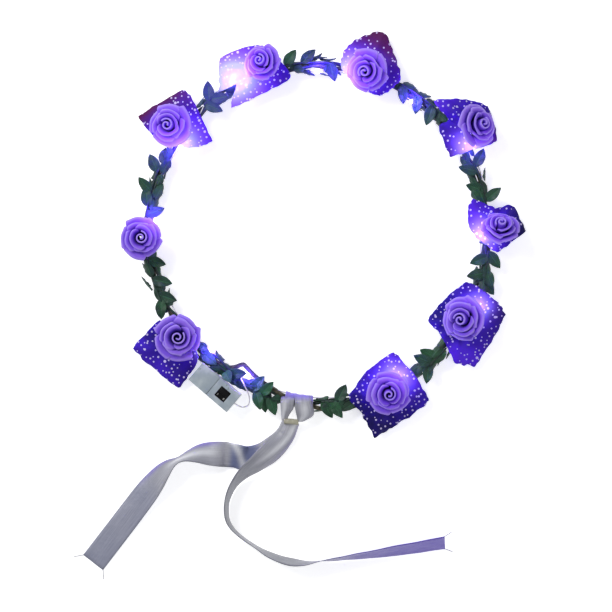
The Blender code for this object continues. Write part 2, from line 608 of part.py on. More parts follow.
def make_box():
    pale = material("translucent plastic", (0.55, 0.60, 0.68), 0.35)
    black = material("black plastic", (0.01, 0.01, 0.012), 0.4)
    steel = material("cell steel", (0.62, 0.62, 0.6), 0.25, 1.0)
    spring_look = material("contact spring", (0.7, 0.6, 0.35), 0.3, 1.0)
    anchor = bpy.data.objects.new("battery_box", None)
    anchor.matrix_world = box_place()
    bpy.context.scene.collection.objects.link(anchor)

    def block(name, low, high, look):
        piece = mesh_object(name, box_shape(low, high), look, smooth=False)
        piece.parent = anchor
        return piece

    def cutter(name, low, high):
        return helper(block(name, low, high, pale))

    half, half_inner = BOX_WIDTH / 2, BOX_INNER / 2
    end = BOX_LENGTH / 2
    past = 1 * MM

    housing = block("battery_housing", (-end, -half, 0), (end, half, RIM_Z), pale)
    inside_top = RIM_Z + past
    bay = cutter("cell bay", (BAY_START, -half_inner, BOX_FLOOR), (BAY_END, half_inner, inside_top))
    room = cutter(
        "switch room",
        (BAY_END + BOX_WALL, -half_inner, BOX_FLOOR),
        (end - BOX_WALL, half_inner, inside_top),
    )
    hole_shape = bmesh.new()
    hole_at = Matrix.Translation((end, half - WIRE_HOLE_FROM_EDGE, WIRE_HOLE_HEIGHT))
    bmesh.ops.create_cone(hole_shape, cap_ends=True, segments=8, radius1=WIRE_HOLE_RADIUS,
                          radius2=WIRE_HOLE_RADIUS, depth=4 * BOX_WALL,
                          matrix=hole_at @ Matrix.Rotation(math.radians(90), 4, "Y"))
    hole = helper(mesh_object("wire hole", hole_shape, pale))
    hole.parent = anchor
    for tool in (bay, room, hole):
        boolean(housing, tool, "DIFFERENCE")

    deck = block("switch_deck", (SEAM + TOUCH_GAP / 2, -half, LID_Z), (end, half, BOX_TOP), pale)
    window = cutter(
        "switch window",
        (SWITCH_AT - WINDOW_LENGTH / 2, -WINDOW_WIDTH / 2, LID_Z - past),
        (SWITCH_AT + WINDOW_LENGTH / 2, WINDOW_WIDTH / 2, BOX_TOP + past),
    )
    boolean(deck, window, "DIFFERENCE")

    cover = block("battery_cover", (-end, -half, LID_Z), (SEAM - TOUCH_GAP / 2, half, BOX_TOP), pale)
    lip = TOUCH_GAP
    tongue = cutter(
        "cover tongue",
        (BAY_START + lip, -half_inner + lip, LID_Z - CELL_TO_LID),
        (BAY_END - lip, half_inner - lip, LID_Z + LID_THICKNESS / 2),
    )
    boolean(cover, tongue, "UNION")

    for number in range(CELL_COUNT):
        low = CELL_Z + number * (CELL_HEIGHT + TOUCH_GAP)
        shape = bmesh.new()
        place = Matrix.Translation((CELL_MIDDLE, 0, low + CELL_HEIGHT / 2))
        bmesh.ops.create_cone(shape, cap_ends=True, segments=CELL_SIDES, radius1=CELL_RADIUS,
                              radius2=CELL_RADIUS, depth=CELL_HEIGHT, matrix=place)
        cell = mesh_object(f"button_cell_{number + 1}", shape, steel)
        cell.parent = anchor

    reach = CELL_RADIUS * CONTACT_REACH
    make_spring(anchor, reach, spring_look)
    block(
        "side_contact",
        (BAY_END - TOUCH_GAP - CONTACT_THICKNESS, -reach, BOX_FLOOR + TOUCH_GAP),
        (BAY_END - TOUCH_GAP, reach, CELL_Z + STACK_HEIGHT),
        spring_look,
    )

    floor_z = BOX_TOP - KNOB_BELOW_TOP - KNOB_TALL - TOUCH_GAP
    body = block(
        "switch_body",
        (SWITCH_AT - WINDOW_LENGTH / 2 - SWITCH_RIM, -WINDOW_WIDTH / 2 - SWITCH_RIM, RIM_Z - SWITCH_DEPTH),
        (SWITCH_AT + WINDOW_LENGTH / 2 + SWITCH_RIM, WINDOW_WIDTH / 2 + SWITCH_RIM, RIM_Z),
        black,
    )
    track = cutter(
        "switch track",
        (SWITCH_AT - WINDOW_LENGTH / 2, -WINDOW_WIDTH / 2, floor_z),
        (SWITCH_AT + WINDOW_LENGTH / 2, WINDOW_WIDTH / 2, inside_top),
    )
    boolean(body, track, "DIFFERENCE")

    knob_shape = box_shape(
        (-KNOB_LENGTH / 2, -KNOB_WIDTH / 2, 0), (KNOB_LENGTH / 2, KNOB_WIDTH / 2, KNOB_TALL)
    )
    knob = mesh_object("switch_knob", knob_shape, black, smooth=False)
    knob.parent = anchor
    knob.location = (SWITCH_AT, KNOB_START, floor_z + TOUCH_GAP)


def make_spring(anchor, reach, look):
    """A leaf of spring steel on the bay's floor, bowed up towards the lowest cell."""
    shape = bmesh.new()
    width = CELL_RADIUS * SPRING_REACH
    lower, upper = [], []
    for index in range(SPRING_STEPS + 1):
        share = index / SPRING_STEPS
        x = CELL_MIDDLE - reach + 2 * reach * share
        z = SPRING_Z + (SPRING_HEIGHT - CONTACT_THICKNESS) * math.sin(math.pi * share)
        lower.append(add_loop(shape, [(x, -width, z), (x, width, z)]))
        top = z + CONTACT_THICKNESS
        upper.append(add_loop(shape, [(x, -width, top), (x, width, top)]))
    sections = [[low[0], low[1], high[1], high[0]] for low, high in zip(lower, upper)]
    for first, second in zip(sections, sections[1:]):
        bridge(shape, first, second)
    shape.faces.new(sections[0])
    shape.faces.new(sections[-1])
    mesh_object("contact_spring", shape, look).parent = anchor


# ---- The satin ribbon ----


def strip(name, keys, look):
    """A ribbon along the keys, rolled about its own length, with the given gap under its lower edge."""
    start = direction(HITCH_AT) * ring_radius(HITCH_AT)
    line = []
    for x, y, gap, roll in smooth_line(keys, TAIL_STEPS):
        turn = math.radians(roll)
        below = (abs(math.sin(turn)) * RIBBON_WIDTH + abs(math.cos(turn)) * RIBBON_THICKNESS) / 2
        line.append((start + Vector((x * MM, y * MM, gap * MM + below)), turn))
    shape = bmesh.new()
    sections = []
    for index, (middle, turn) in enumerate(line):
        ahead = (line[min(index + 1, len(line) - 1)][0] - line[max(index - 1, 0)][0]).normalized()
        level = Vector((0, 0, 1)).cross(ahead).normalized()
        up = ahead.cross(level)
        across = (level * math.cos(turn) + up * math.sin(turn)) * RIBBON_WIDTH / 2
        face = ahead.cross(across).normalized() * RIBBON_THICKNESS / 2
        corners = (across + face, across - face, -across - face, face - across)
        sections.append(add_loop(shape, [middle + corner for corner in corners]))
    # Both wide faces are split along the same diagonal. Otherwise, where the ribbon twists, each would
    # cut through the other.
    for first, second in zip(sections, sections[1:]):
        for one, two in ((0, 1), (1, 2), (2, 3)):
            shape.faces.new((first[one], first[two], second[two]))
            shape.faces.new((first[one], second[two], second[one]))
        shape.faces.new((first[3], first[0], second[3]))
        shape.faces.new((first[0], second[0], second[3]))
    shape.faces.new(sections[0])
    shape.faces.new(sections[-1])
    return mesh_object(name, shape, look)


def make_ribbon():
    satin = material("satin", (0.48, 0.47, 0.50), 0.35)
    shape = bmesh.new()
    half_span = math.degrees(HITCH_WIDTH / 2 / ring_radius(HITCH_AT))
    loops = []
    stations = angles_between(HITCH_AT - half_span, HITCH_AT + half_span, half_span)
    for grow in (0.0, RIBBON_THICKNESS):
        for angle in stations:
            loop = []
            for index in range(HITCH_SIDES):
                corner = direction(360 / HITCH_SIDES * index) * (HITCH_INNER + grow)
                spot = direction(angle) * (ring_radius(angle) + corner.x)
                spot.z = RING_HEIGHT + HITCH_LIFT + corner.y
                loop.append(spot)
            loops.append(add_loop(shape, loop))
    count = len(stations)
    inner, outer = loops[:count], loops[count:]
    for layer in (inner, outer):
        for first, second in zip(layer, layer[1:]):
            bridge(shape, first, second)
    bridge(shape, inner[0], outer[0])
    bridge(shape, inner[-1], outer[-1])
    hitch = mesh_object("ribbon_hitch", shape, satin)

    # Two legs run from the outside of the loop down to the band that the tails leave from.
    wall = ring_radius(HITCH_AT) + HITCH_INNER + RIBBON_THICKNESS / 2
    middle = direction(HITCH_AT) * ring_radius(HITCH_AT)
    middle.z = RING_HEIGHT + HITCH_LIFT
    for leg in HITCH_LEGS:
        left, right, foot_left, foot_right = [middle.x + x * MM for x in leg]
        foot = middle.y + BAND_TOP * MM - RIBBON_THICKNESS
        rim = [Vector((x, -math.sqrt(wall**2 - x**2), middle.z)) for x in (left, right)]
        rim += [Vector((x, foot, middle.z)) for x in (foot_right, foot_left)]
        shape = bmesh.new()
        bottom = add_loop(shape, [spot - Vector((0, 0, LEG_THICKNESS / 2)) for spot in rim])
        top = add_loop(shape, [spot + Vector((0, 0, LEG_THICKNESS / 2)) for spot in rim])
        bridge(shape, bottom, top)
        shape.faces.new(bottom)
        shape.faces.new(top)
        boolean(hitch, helper(mesh_object("hitch leg", shape, satin)), "UNION")
    band = box_shape(
        middle + Vector((HITCH_LEGS[0][2] * MM - RIBBON_THICKNESS, BAND_BOTTOM * MM, -LEG_THICKNESS)),
        middle + Vector((HITCH_LEGS[1][3] * MM + RIBBON_THICKNESS, BAND_TOP * MM, LEG_THICKNESS)),
    )
    boolean(hitch, helper(mesh_object("hitch band", band, satin, smooth=False)), "UNION")
    strip("ribbon_tail_long", LONG_TAIL, satin)
    strip("ribbon_tail_short", SHORT_TAIL, satin)


clear_scene()
make_wires()
make_lights()
make_roses()
make_cloth()
make_sprigs()
make_box()
make_ribbon()
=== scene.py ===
# %% [markdown]
# # A flower crown with a string of lights
#
# The crown is two wires twisted into a ring. On it sit nine foam roses, squares of star-printed ribbon,
# sprigs of cloth leaves and a thin string of lights, and a satin ribbon hangs from its lower side. The
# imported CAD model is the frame, and this file dresses it: each soft or plain CAD solid is swapped for a
# detailed piece in the same place. Lengths are in metres, and tables give millimetres.

import random
from math import atan2, copysign, cos, degrees, exp, pi, radians, sin, sqrt

import bmesh
import bpy
from mathutils import Matrix, Vector, noise


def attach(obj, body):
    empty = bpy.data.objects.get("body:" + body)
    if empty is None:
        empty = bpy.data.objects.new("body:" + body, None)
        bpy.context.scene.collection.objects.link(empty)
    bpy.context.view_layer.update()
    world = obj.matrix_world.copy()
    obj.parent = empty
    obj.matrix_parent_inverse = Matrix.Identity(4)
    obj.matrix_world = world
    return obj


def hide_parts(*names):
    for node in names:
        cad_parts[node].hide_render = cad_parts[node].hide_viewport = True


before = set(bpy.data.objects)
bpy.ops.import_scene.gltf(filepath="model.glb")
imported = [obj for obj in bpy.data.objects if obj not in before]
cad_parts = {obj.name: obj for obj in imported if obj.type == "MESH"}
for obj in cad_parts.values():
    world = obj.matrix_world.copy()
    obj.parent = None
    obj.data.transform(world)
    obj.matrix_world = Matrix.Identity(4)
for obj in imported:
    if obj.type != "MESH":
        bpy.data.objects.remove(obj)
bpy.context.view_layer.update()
MM = 0.001

# %% [markdown]
# ## Camera, floor and light
#
# The crown is looked at from straight above. A long lens far away keeps the tall roses from leaning
# outwards in the picture. The floor is a plain pale sheet, and two large soft lamps with a pale sky give
# shadows with soft edges. The colours are shown as they are, with no film curve.

# %% Camera
VIEW_CENTRE = Vector((-6.0, -41.4, 0)) * MM
VIEW_WIDTH = 367.2 * MM
LENS, SENSOR = 100.0, 36.0

scene = bpy.context.scene
scene.view_settings.view_transform = "Standard"


def add_object(name, data, place=(0, 0, 0)):
    made = bpy.data.objects.new(name, data)
    made.location = place
    scene.collection.objects.link(made)
    return made


camera_data = bpy.data.cameras.new("camera")
camera_data.lens, camera_data.sensor_width = LENS, SENSOR
camera = add_object("camera", camera_data, VIEW_CENTRE + Vector((0, 0, VIEW_WIDTH * LENS / SENSOR)))
scene.camera = camera
print("camera height in mm:", round(camera.location.z / MM))

# %% [markdown]
# ## Shader maths that reads like arithmetic
#
# A material in Blender is a graph of nodes. Writing one in Python usually means many lines that add nodes
# and link sockets. The small class below wraps the output of a node. Adding, multiplying or subtracting
# such values adds the Math node that does it, so a pattern can be written as one expression. Every other
# node comes from one method, which takes the node's settings first and then what goes into its sockets.

# %% The shader helpers


class Value:
    """The output of a shader node. Arithmetic on it adds Math nodes."""

    def __init__(self, finish, socket):
        self.finish, self.socket = finish, socket

    def maths(self, operation, *others):
        values = dict(enumerate((self, *others)))
        return self.finish.node("ShaderNodeMath", {"operation": operation}, values)

    def __add__(self, other):
        return self.maths("ADD", other)

    def __sub__(self, other):
        return self.maths("SUBTRACT", other)

    def __mul__(self, other):
        return self.maths("MULTIPLY", other)

    def __rsub__(self, other):
        return self * -1.0 + other

    __radd__, __rmul__ = __add__, __mul__

    def ramp(self, low, high):
        """0 up to low, 1 from high, and a smooth step between them."""
        limits = {"From Min": low, "From Max": high, "Value": self}
        return self.finish.node("ShaderNodeMapRange", {"interpolation_type": "SMOOTHSTEP"}, limits)


def paint(code):
    """A colour from its usual six-digit code, as the linear numbers that Blender works in."""
    parts = [int(code[place : place + 2], 16) / 255 for place in (0, 2, 4)]
    return (*[part / 12.92 if part < 0.04045 else ((part + 0.055) / 1.055) ** 2.4 for part in parts], 1.0)


class Finish:
    """A material, with the nodes that feed its Principled shader."""

    def __init__(self, name, **fixed):
        self.material = bpy.data.materials.new(name)
        self.material.use_nodes = True
        self.tree = self.material.node_tree
        self.shader = self.tree.nodes["Principled BSDF"]
        for socket, value in fixed.items():
            self.shade(socket.replace("_", " "), value)

    def feed(self, socket, value):
        """A socket takes another node's output, a colour's code or a plain number."""
        if isinstance(value, Value):
            self.tree.links.new(value.socket, socket)
        else:
            socket.default_value = paint(value) if isinstance(value, str) else value

    def node(self, kind, settings=None, values=None, output=0):
        made = self.tree.nodes.new(kind)
        for name, setting in (settings or {}).items():
            setattr(made, name, setting)
        for name, value in (values or {}).items():
            self.feed(made.inputs[name], value)
        return Value(self, made.outputs[output])

    def mix(self, share, first, second):
        """A colour that goes from the first to the second as share goes from 0 to 1."""
        settings = {"data_type": "RGBA", "clamp_factor": True}
        return self.node("ShaderNodeMix", settings, {0: share, 6: first, 7: second}, output=2)

    def layers(self, colour, *coats):
        """A colour under coats of others. Each coat is how much of it shows, and its colour."""
        for share, coat in coats:
            colour = self.mix(share, colour, coat)
        return colour

    def mark(self, name, output="Fac"):
        """What the mesh's own points say under that name."""
        return self.node("ShaderNodeAttribute", {"attribute_name": name}, output=output)

    def cloud(self, scale, detail=3.0, across=None):
        """Soft random patches; scale is patches per metre."""
        place = across or self.node("ShaderNodeTexCoord", output="Object")
        return self.node("ShaderNodeTexNoise", None, {"Vector": place, "Scale": scale, "Detail": detail})

    def relief(self, height, depth):
        """A bump, with depth in metres."""
        values = {"Height": height, "Distance": depth}
        self.shade("Normal", self.node("ShaderNodeBump", None, values, "Normal"))

    def shade(self, socket, value):
        self.feed(self.shader.inputs[socket], value)


# %% Floor, lamps and sky
floor_finish = Finish("floor paper", Roughness=0.9, Emission_Strength=0.55, Emission_Color="ffffff")
floor_finish.shade("Base Color", floor_finish.mix(floor_finish.cloud(6), "f7f7f8", "fcfcfc"))
floor_data = bpy.data.meshes.new("floor")
FLOOR_REACH, FLOOR_DROP = 4.0, 0.2 * MM
corners = ((-1, -1), (1, -1), (1, 1), (-1, 1))
corners = [(x * FLOOR_REACH, y * FLOOR_REACH, -FLOOR_DROP) for x, y in corners]
floor_data.from_pydata(corners, [], [(0, 1, 2, 3)])
floor_data.materials.append(floor_finish.material)
floor = add_object("floor", floor_data)

# Each lamp: place, size and power in watts.
LAMPS = {
    "key lamp": ((-0.6, 0.5, 0.8), 0.45, 8.0),
    "fill lamp": ((0.7, -0.5, 0.8), 0.7, 2.0),
}
for name, (place, size, power) in LAMPS.items():
    lamp = bpy.data.lights.new(name, "AREA")
    lamp.size, lamp.energy = size, power
    add_object(name, lamp, place).rotation_euler = (-Vector(place)).to_track_quat("-Z", "Y").to_euler()

SKY_COLOUR, SKY_STRENGTH = (0.95, 0.96, 1.0, 1.0), 0.4
sky = bpy.data.worlds.new("sky")
sky.use_nodes = True
background = sky.node_tree.nodes["Background"].inputs
background["Color"].default_value, background["Strength"].default_value = SKY_COLOUR, SKY_STRENGTH
scene.world = sky
print("lamps:", list(LAMPS))

# %% [markdown]
# ## Where things are on the ring
#
# Everything on the crown is placed by its angle round the ring, so these helpers come first. They use the
# same rules as the CAD model: a ring 202 mm across, a little out of round, dented at the lower left. A
# point beside the wires is given by the angle, the side of the wires that it is on (0 outside the ring, 90
# on top, 180 inside) and its distance from their middle.

# %% The ring's rules
RING_RADIUS, RING_SHIFT, RING_SHIFT_AT = 101 * MM, 1.5 * MM, 60
RING_DENT, RING_DENT_AT, RING_HEIGHT = 4 * MM, 232, 5.2 * MM
BROWN_RADIUS, GREEN_RADIUS, LANE = 1.3 * MM, 1.15 * MM, 1.475 * MM
BUNDLE_RADIUS = LANE + BROWN_RADIUS
LIGHT_WIRE_RADIUS = 0.35 * MM
LIGHT_LANE = BUNDLE_RADIUS + 0.55 * MM
BEAD_RADIUS, BEAD_LENGTH = 1.25 * MM, 4 * MM
BEAD_LANE = BUNDLE_RADIUS + BEAD_RADIUS + 0.3 * MM
SPRIG_RADIUS = 0.6 * MM
SPRIG_LANE = LIGHT_LANE + LIGHT_WIRE_RADIUS + 0.3 * MM + SPRIG_RADIUS
CLOTH_HEIGHT = RING_HEIGHT + LIGHT_LANE + LIGHT_WIRE_RADIUS + 1.3 * MM
UP = Vector((0, 0, 1))


def direction(angle):
    return Vector((cos(radians(angle)), sin(radians(angle)), 0))


def ring_radius(angle):
    shift = RING_SHIFT * cos(radians(angle - RING_SHIFT_AT))
    dent = RING_DENT * max(0.0, cos(radians(angle - RING_DENT_AT))) ** 8
    return RING_RADIUS + shift - dent


def by_ring(angle, side, reach):
    out, up = direction(side).xy * reach
    return direction(angle) * (ring_radius(angle) + out) + UP * (RING_HEIGHT + up)


def evenly(start, end, step):
    count = max(1, round((end - start) / step))
    return [start + (end - start) * index / count for index in range(count + 1)]


def along_ring(start, end, step, side, reach):
    return [by_ring(angle, side, reach) for angle in evenly(start, end, step)]


def smooth_line(keys, steps):
    """Points of a Catmull-Rom curve through the keys, which are rows of numbers of any length."""
    found = []
    for index in range(len(keys) - 1):
        before, start, end = keys[max(index - 1, 0)], keys[index], keys[index + 1]
        after = keys[min(index + 2, len(keys) - 1)]
        for step in range(steps):
            t = step / steps
            found.append(tuple(
                0.5 * (2 * b + (c - a) * t + (2 * a - 5 * b + 4 * c - d) * t**2
                       + (3 * b - a - 3 * c + d) * t**3)
                for a, b, c, d in zip(before, start, end, after)
            ))
    return found + [keys[-1]]


def smooth_points(points, steps):
    return [Vector(point) for point in smooth_line(points, steps)]


def ahead(line, index):
    """Which way a line of points goes at one of them."""
    return (line[min(index + 1, len(line) - 1)] - line[max(index - 1, 0)]).normalized()


def nearest(line, share):
    """The one in a list that is a share of the way along it."""
    return line[round(share * (len(line) - 1))]


print("ring radius at the dent in mm:", round(ring_radius(RING_DENT_AT) / MM, 2))

# %% [markdown]
# ## The string of lights
#
# A lacquered wire as thin as thread carries small drops of clear resin, each with a violet light inside.
# The drops glow by themselves, but such small glowing things make a grainy picture, so a small violet lamp
# above each drop does most of the lighting. The lamps leave the floor out. Thin ribbon and foam near a drop
# let its light through, so every piece gets two marks that say how near a light it is: one for the wide
# violet glow and one for the bright middle.

# %% Where the lights are
LIGHTS = (
    (243.6, 165), (299, 150), (336.5, 20), (360.5, 165), (390.0, 15), (414.5, 150),
    (438.5, 160), (449.3, 150), (477.5, 15), (506.5, 165), (534.5, 165), (587.5, 150),
)
# How much of each light gets past the ribbon and petals around it.
BRIGHTNESS = (0.9, 1.0, 0.8, 1.0, 1.0, 1.0, 1.6, 1.0, 2.2, 1.6, 1.1, 0.8)
LIGHT_WIRE_START, LIGHT_WIRE_END, LIGHT_HOLD = 240.5, 589.5, 0.2
BEAD_SPAN, BEAD_EASE = 1.4, 3.4
GLOW_WIDE, GLOW_MIDDLE, GLOW_OVER = 13 * MM, 7 * MM, 3.5 * MM
LAMP_COLOUR, LAMP_SIZE, LAMP_POWER = (0.36, 0.2, 1.0), 2 * MM, 0.012


def light_side(angle):
    """The wire goes round the pair to each light's side, and stands off further at a bead."""
    spots = [(LIGHT_WIRE_START, LIGHTS[0][1]), *LIGHTS, (LIGHT_WIRE_END, LIGHTS[-1][1])]
    for (start, from_side), (end, to_side) in zip(spots, spots[1:]):
        if angle <= end:
            break
    share = ((angle - start) / (end - start) - LIGHT_HOLD) / (1 - 2 * LIGHT_HOLD)
    share = min(1.0, max(0.0, share))
    side = from_side + (to_side - from_side) * share * share * (3 - 2 * share)
    off = min(abs(angle - spot) for spot, _ in LIGHTS)
    lift = min(1.0, max(0.0, (BEAD_EASE - off) / (BEAD_EASE - BEAD_SPAN)))
    return side, LIGHT_LANE + (BEAD_LANE - LIGHT_LANE) * lift


glow = [by_ring(angle, *light_side(angle)) for angle, _ in LIGHTS]
for spot in glow:
    spot.z = CLOTH_HEIGHT + GLOW_OVER


def near_light(point, reach):
    """About 1 beside a light, fading to 0 away from all of them."""
    return max(
        power * exp(-(((point - spot).length / (reach * power**0.5)) ** 2))
        for spot, power in zip(glow, BRIGHTNESS)
    )


unlit = bpy.data.collections.new("left dark by the small lamps")
unlit.objects.link(floor)
for number, (spot, power) in enumerate(zip(glow, BRIGHTNESS), start=1):
    lamp = bpy.data.lights.new(f"drop lamp {number}", "POINT")
    lamp.color, lamp.shadow_soft_size, lamp.energy = LAMP_COLOUR, LAMP_SIZE, LAMP_POWER * power
    add_object(lamp.name, lamp, spot).light_linking.receiver_collection = unlit
unlit.collection_objects[0].light_linking.link_state = "EXCLUDE"
print("lights:", len(glow))

# %% [markdown]
# ## One way to make every mesh
#
# Petals, leaves, ribbons and wires are all sheets of points in rows and columns, bent into shape. The
# class below collects such grids. Each point can also carry marks, such as how near it is to a petal's rim,
# which the materials read to colour it. Thin sheets get their thickness from a Solidify modifier, and a
# Subdivision modifier rounds them.

# %% Grids of points


def dressed(name, data, finish, body, stands_for):
    """An object that shows a mesh and rides on a body, in place of some CAD nodes."""
    data.shade_smooth()
    data.materials.clear()
    data.materials.append(finish.material)
    thing = add_object(name, data)
    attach(thing, body)
    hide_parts(*stands_for)
    return thing


class Shape:
    """Points, faces and marks that become one mesh."""

    def __init__(self):
        self.points, self.faces, self.marks = [], [], {}

    def grid(self, rows, columns, place, wrap=False, capped=False):
        """Rows run from 0 to 1 and so do columns; wrap closes the columns into a tube."""
        start = len(self.points)
        for row in range(rows):
            for column in range(columns):
                point, marks = place(row / (rows - 1), column / (columns if wrap else columns - 1))
                self.points.append(point)
                for name, value in marks.items():
                    self.marks.setdefault(name, []).append(value)
        for row in range(rows - 1):
            for column in range(columns if wrap else columns - 1):
                here, there = start + row * columns, start + (row + 1) * columns
                after = (column + 1) % columns
                self.faces.append((here + column, here + after, there + after, there + column))
        if capped:
            last = start + (rows - 1) * columns
            self.faces += [tuple(range(start, start + columns)), tuple(range(last, last + columns))]

    def tube(self, line, radius, sides, marks=None):
        """A round tube along a line of points. Its radius is a number or, as the marks are, a function of
        the share of the way along and round."""
        frames, across = [], ahead(line, 0).orthogonal()
        for index, point in enumerate(line):
            way = ahead(line, index)
            across = (across - way * across.dot(way)).normalized()
            frames.append((point, across, way.cross(across)))

        def place(along, turn):
            middle, one, two = nearest(frames, along)
            spoke = direction(360 * turn)
            reach = radius(along, turn) if callable(radius) else radius
            return middle + (one * spoke.x + two * spoke.y) * reach, marks(along, turn) if marks else {}

        self.grid(len(line), sides, place, wrap=True, capped=True)

    def piece(self, name, finish, slot, body="crown", stands_for=(), thickness=0.0, rounds=0):
        data = bpy.data.meshes.new(name)
        data.from_pydata(self.points, [], self.faces)
        self.marks["glow"] = [near_light(point, GLOW_WIDE) for point in self.points]
        self.marks["hot"] = [near_light(point, GLOW_MIDDLE) for point in self.points]
        for mark, values in self.marks.items():
            if isinstance(values[0], tuple):
                made = data.attributes.new(mark, "FLOAT_VECTOR", "POINT")
                made.data.foreach_set("vector", [part for value in values for part in value])
            else:
                data.attributes.new(mark, "FLOAT", "POINT").data.foreach_set("value", values)
        shape = bmesh.new()
        shape.from_mesh(data)
        bmesh.ops.recalc_face_normals(shape, faces=shape.faces[:])
        shape.to_mesh(data)
        shape.free()
        thing = dressed(name, data, finish, body, stands_for)
        if rounds:
            rounding = thing.modifiers.new("rounding", "SUBSURF")
            rounding.levels = rounding.render_levels = rounds
        if thickness:
            shell = thing.modifiers.new("thickness", "SOLIDIFY")
            shell.thickness, shell.offset = thickness, 0.0
        return thing


def wire(name, line, radius, sides, finish, slot, marks=None, stands_for=()):
    shape = Shape()
    shape.tube(line, radius, sides, marks)
    shape.piece(name, finish, slot, stands_for=stands_for)


def jitter(x, y, z=0.0):
    """A smooth random number from -1 to 1 that is the same in every run."""
    return noise.noise(Vector((x, y, z)))


# %% [markdown]
# The wire of the lights runs along the twisted pair, on the side where each light sits. Its first end
# comes up out of the battery box in a loose bend.

# %% The light wire
# The battery box: the middle of its underside, its long direction and the direction towards the ring.
BOX_MIDDLE, BOX_TURN = Vector((-60.061, -89.585, 0)) * MM, -40.6
BOX_LENGTH, BOX_WIDTH = 30 * MM, 13.2 * MM
box_place = Matrix.Translation(BOX_MIDDLE) @ Matrix.Rotation(radians(BOX_TURN), 4, "Z")
LEAD = (
    (-1.5, -6.6, 5.0), (2.0, -6.5, 5.0), (5.4, -5.2, 5.0), (7.0, -2.2, 5.2), (5.2, 1.2, 6.4),
    (0.9, 4.1, 9.8), (-3.4, 6.0, 12.0), (-7.1, 7.8, 10.6),
)
box_edge = Vector((BOX_LENGTH / 2, BOX_WIDTH / 2, 0))
light_route = [box_place @ (box_edge + Vector(point) * MM) for point in LEAD]
for angle in evenly(LIGHT_WIRE_START, LIGHT_WIRE_END, 3.0):
    light_route.append(by_ring(angle, *light_side(angle)))

lacquer = Finish("lacquered light wire", Metallic=0.2, Roughness=0.3)
lacquer.shade("Base Color", lacquer.mix(lacquer.cloud(150), "f4f2f8", "d6d0e4"))
wire("light_thread", smooth_points(light_route, 3), LIGHT_WIRE_RADIUS, 8, lacquer, "light_wire",
     stands_for=["light_wire"])

# %% The glowing drops
resin = Finish("lit resin", Roughness=0.12, Emission_Strength=12.0)
core = resin.mark("core")
resin.shade("Base Color", resin.mix(core, "c9b4ff", "ffffff"))
resin.shade("Emission Color", resin.mix(core, "8a4cff", "f4e6ff"))


def plump(share, turn):
    belly = sqrt(max(0.0, 1 - (2 * share - 1) ** 2))
    return LIGHT_WIRE_RADIUS + (BEAD_RADIUS - LIGHT_WIRE_RADIUS) * belly**0.8


def core_marks(share, turn):
    return {"core": 1 - abs(2 * share - 1)}


for number, (angle, _) in enumerate(LIGHTS, start=1):
    before, after = (by_ring(angle + span, *light_side(angle)) for span in (-BEAD_SPAN, BEAD_SPAN))
    middle, along = (before + after) / 2, (after - before).normalized()
    line = [middle + along * (share - 0.5) * BEAD_LENGTH for share in evenly(0, 1, 1 / 12)]
    wire(f"resin_drop_{number}", line, plump, 12, resin, "light_bead", core_marks, [f"light_bead_{number}"])

# %% [markdown]
# ## The twisted wires
#
# The crown's backbone is a wire wrapped in brown paper tape, twisted together with a dark green plastic
# vine. The tape goes round in a spiral, and each turn's edge makes a small step. The step is real geometry,
# because it shows on the outline, and the tape's fibres are only colour and bump.

# %% Finishes of the two wires


def wire_finish(name, light, dark, seam, roughness, lit=0.75):
    """Tape or plastic on a wire: streaks along it, darker at each turn's edge."""
    made = Finish(name, Roughness=roughness)
    wrap = made.mark("wrap", "Vector")
    stretched = made.node("ShaderNodeMapping", None, {"Vector": wrap, "Scale": (260, 5, 1)})
    streaks = made.cloud(1.0, 4, stretched)
    # Near a light the colour takes a painted violet glow, as strong as lit says.
    made.shade("Base Color", made.layers(
        light, (streaks.ramp(0.35, 0.7), dark), (made.mark("seam").ramp(0.75, 1.0), seam),
        (made.cloud(90).ramp(0.45, 0.75) * 0.6, dark),
        (made.mark("glow").ramp(0.0, 0.9) * lit, "3a26b0"),
    ))
    made.shade("Roughness", streaks * 0.3 + (roughness - 0.15))
    made.relief(streaks + made.cloud(2600, 2) * 0.6, 0.12 * MM)
    return made


def untaped(length):
    """Marks for a plain stem: streaks along its length, and no turns of tape."""
    return lambda along, turn: {"wrap": (along * length, turn, 0.0), "seam": 0.0}


brown_tape = wire_finish("brown paper tape", "5a553c", "24231a", "12120c", 0.8, 0.3)
green_vine = wire_finish("green vine", "12352a", "061512", "030a08", 0.5)

# %% The two wires
TWISTS, BROWN_PHASE, BROWN_LEAVES_AT = 14, 86, 236
GREEN_START, GREEN_END, END_GAP = -93, 262, 3
TAPE_PITCH, TAPE_STEP = 4.5 * MM, 0.07 * MM

# The brown wire's second end bends out of the pair and goes back under the ribbon: angle, side, gap in mm.
BROWN_TAIL = (
    (238.2, 160, 0.5), (240.2, 168, 4.1), (242.0, 166, 3.9), (245.5, 162, 2.3), (249.5, 158, 0.8),
    (253.5, 138, 0.4), (257.5, 112, 0.2), (262.0, 94, 0.2), (266.5, 78, 0.2), (270.0, 52, 0.2),
    (273.0, 26, 0.3), (276.0, 10, 0.5),
)


def strand(start, end, phase):
    return [by_ring(angle, TWISTS * angle + phase, LANE) for angle in evenly(start, end, 0.6)]


def wrapped_wire(name, line, radius, finish, slot, node):
    length = sum((b - a).length for a, b in zip(line, line[1:]))

    def edge(along, turn):
        return (along * length / TAPE_PITCH + turn) % 1.0

    def thick(along, turn):
        uneven = jitter(along * length / (9 * MM), turn * 2, radius * 900)
        return radius * (0.97 + 0.05 * uneven) + TAPE_STEP * edge(along, turn)

    def marks(along, turn):
        return {"wrap": (along * length, turn, 0.0), "seam": edge(along, turn)}

    wire(name, line, thick, 14, finish, slot, marks, [node])
    print(name, "is", round(length / MM), "mm long")


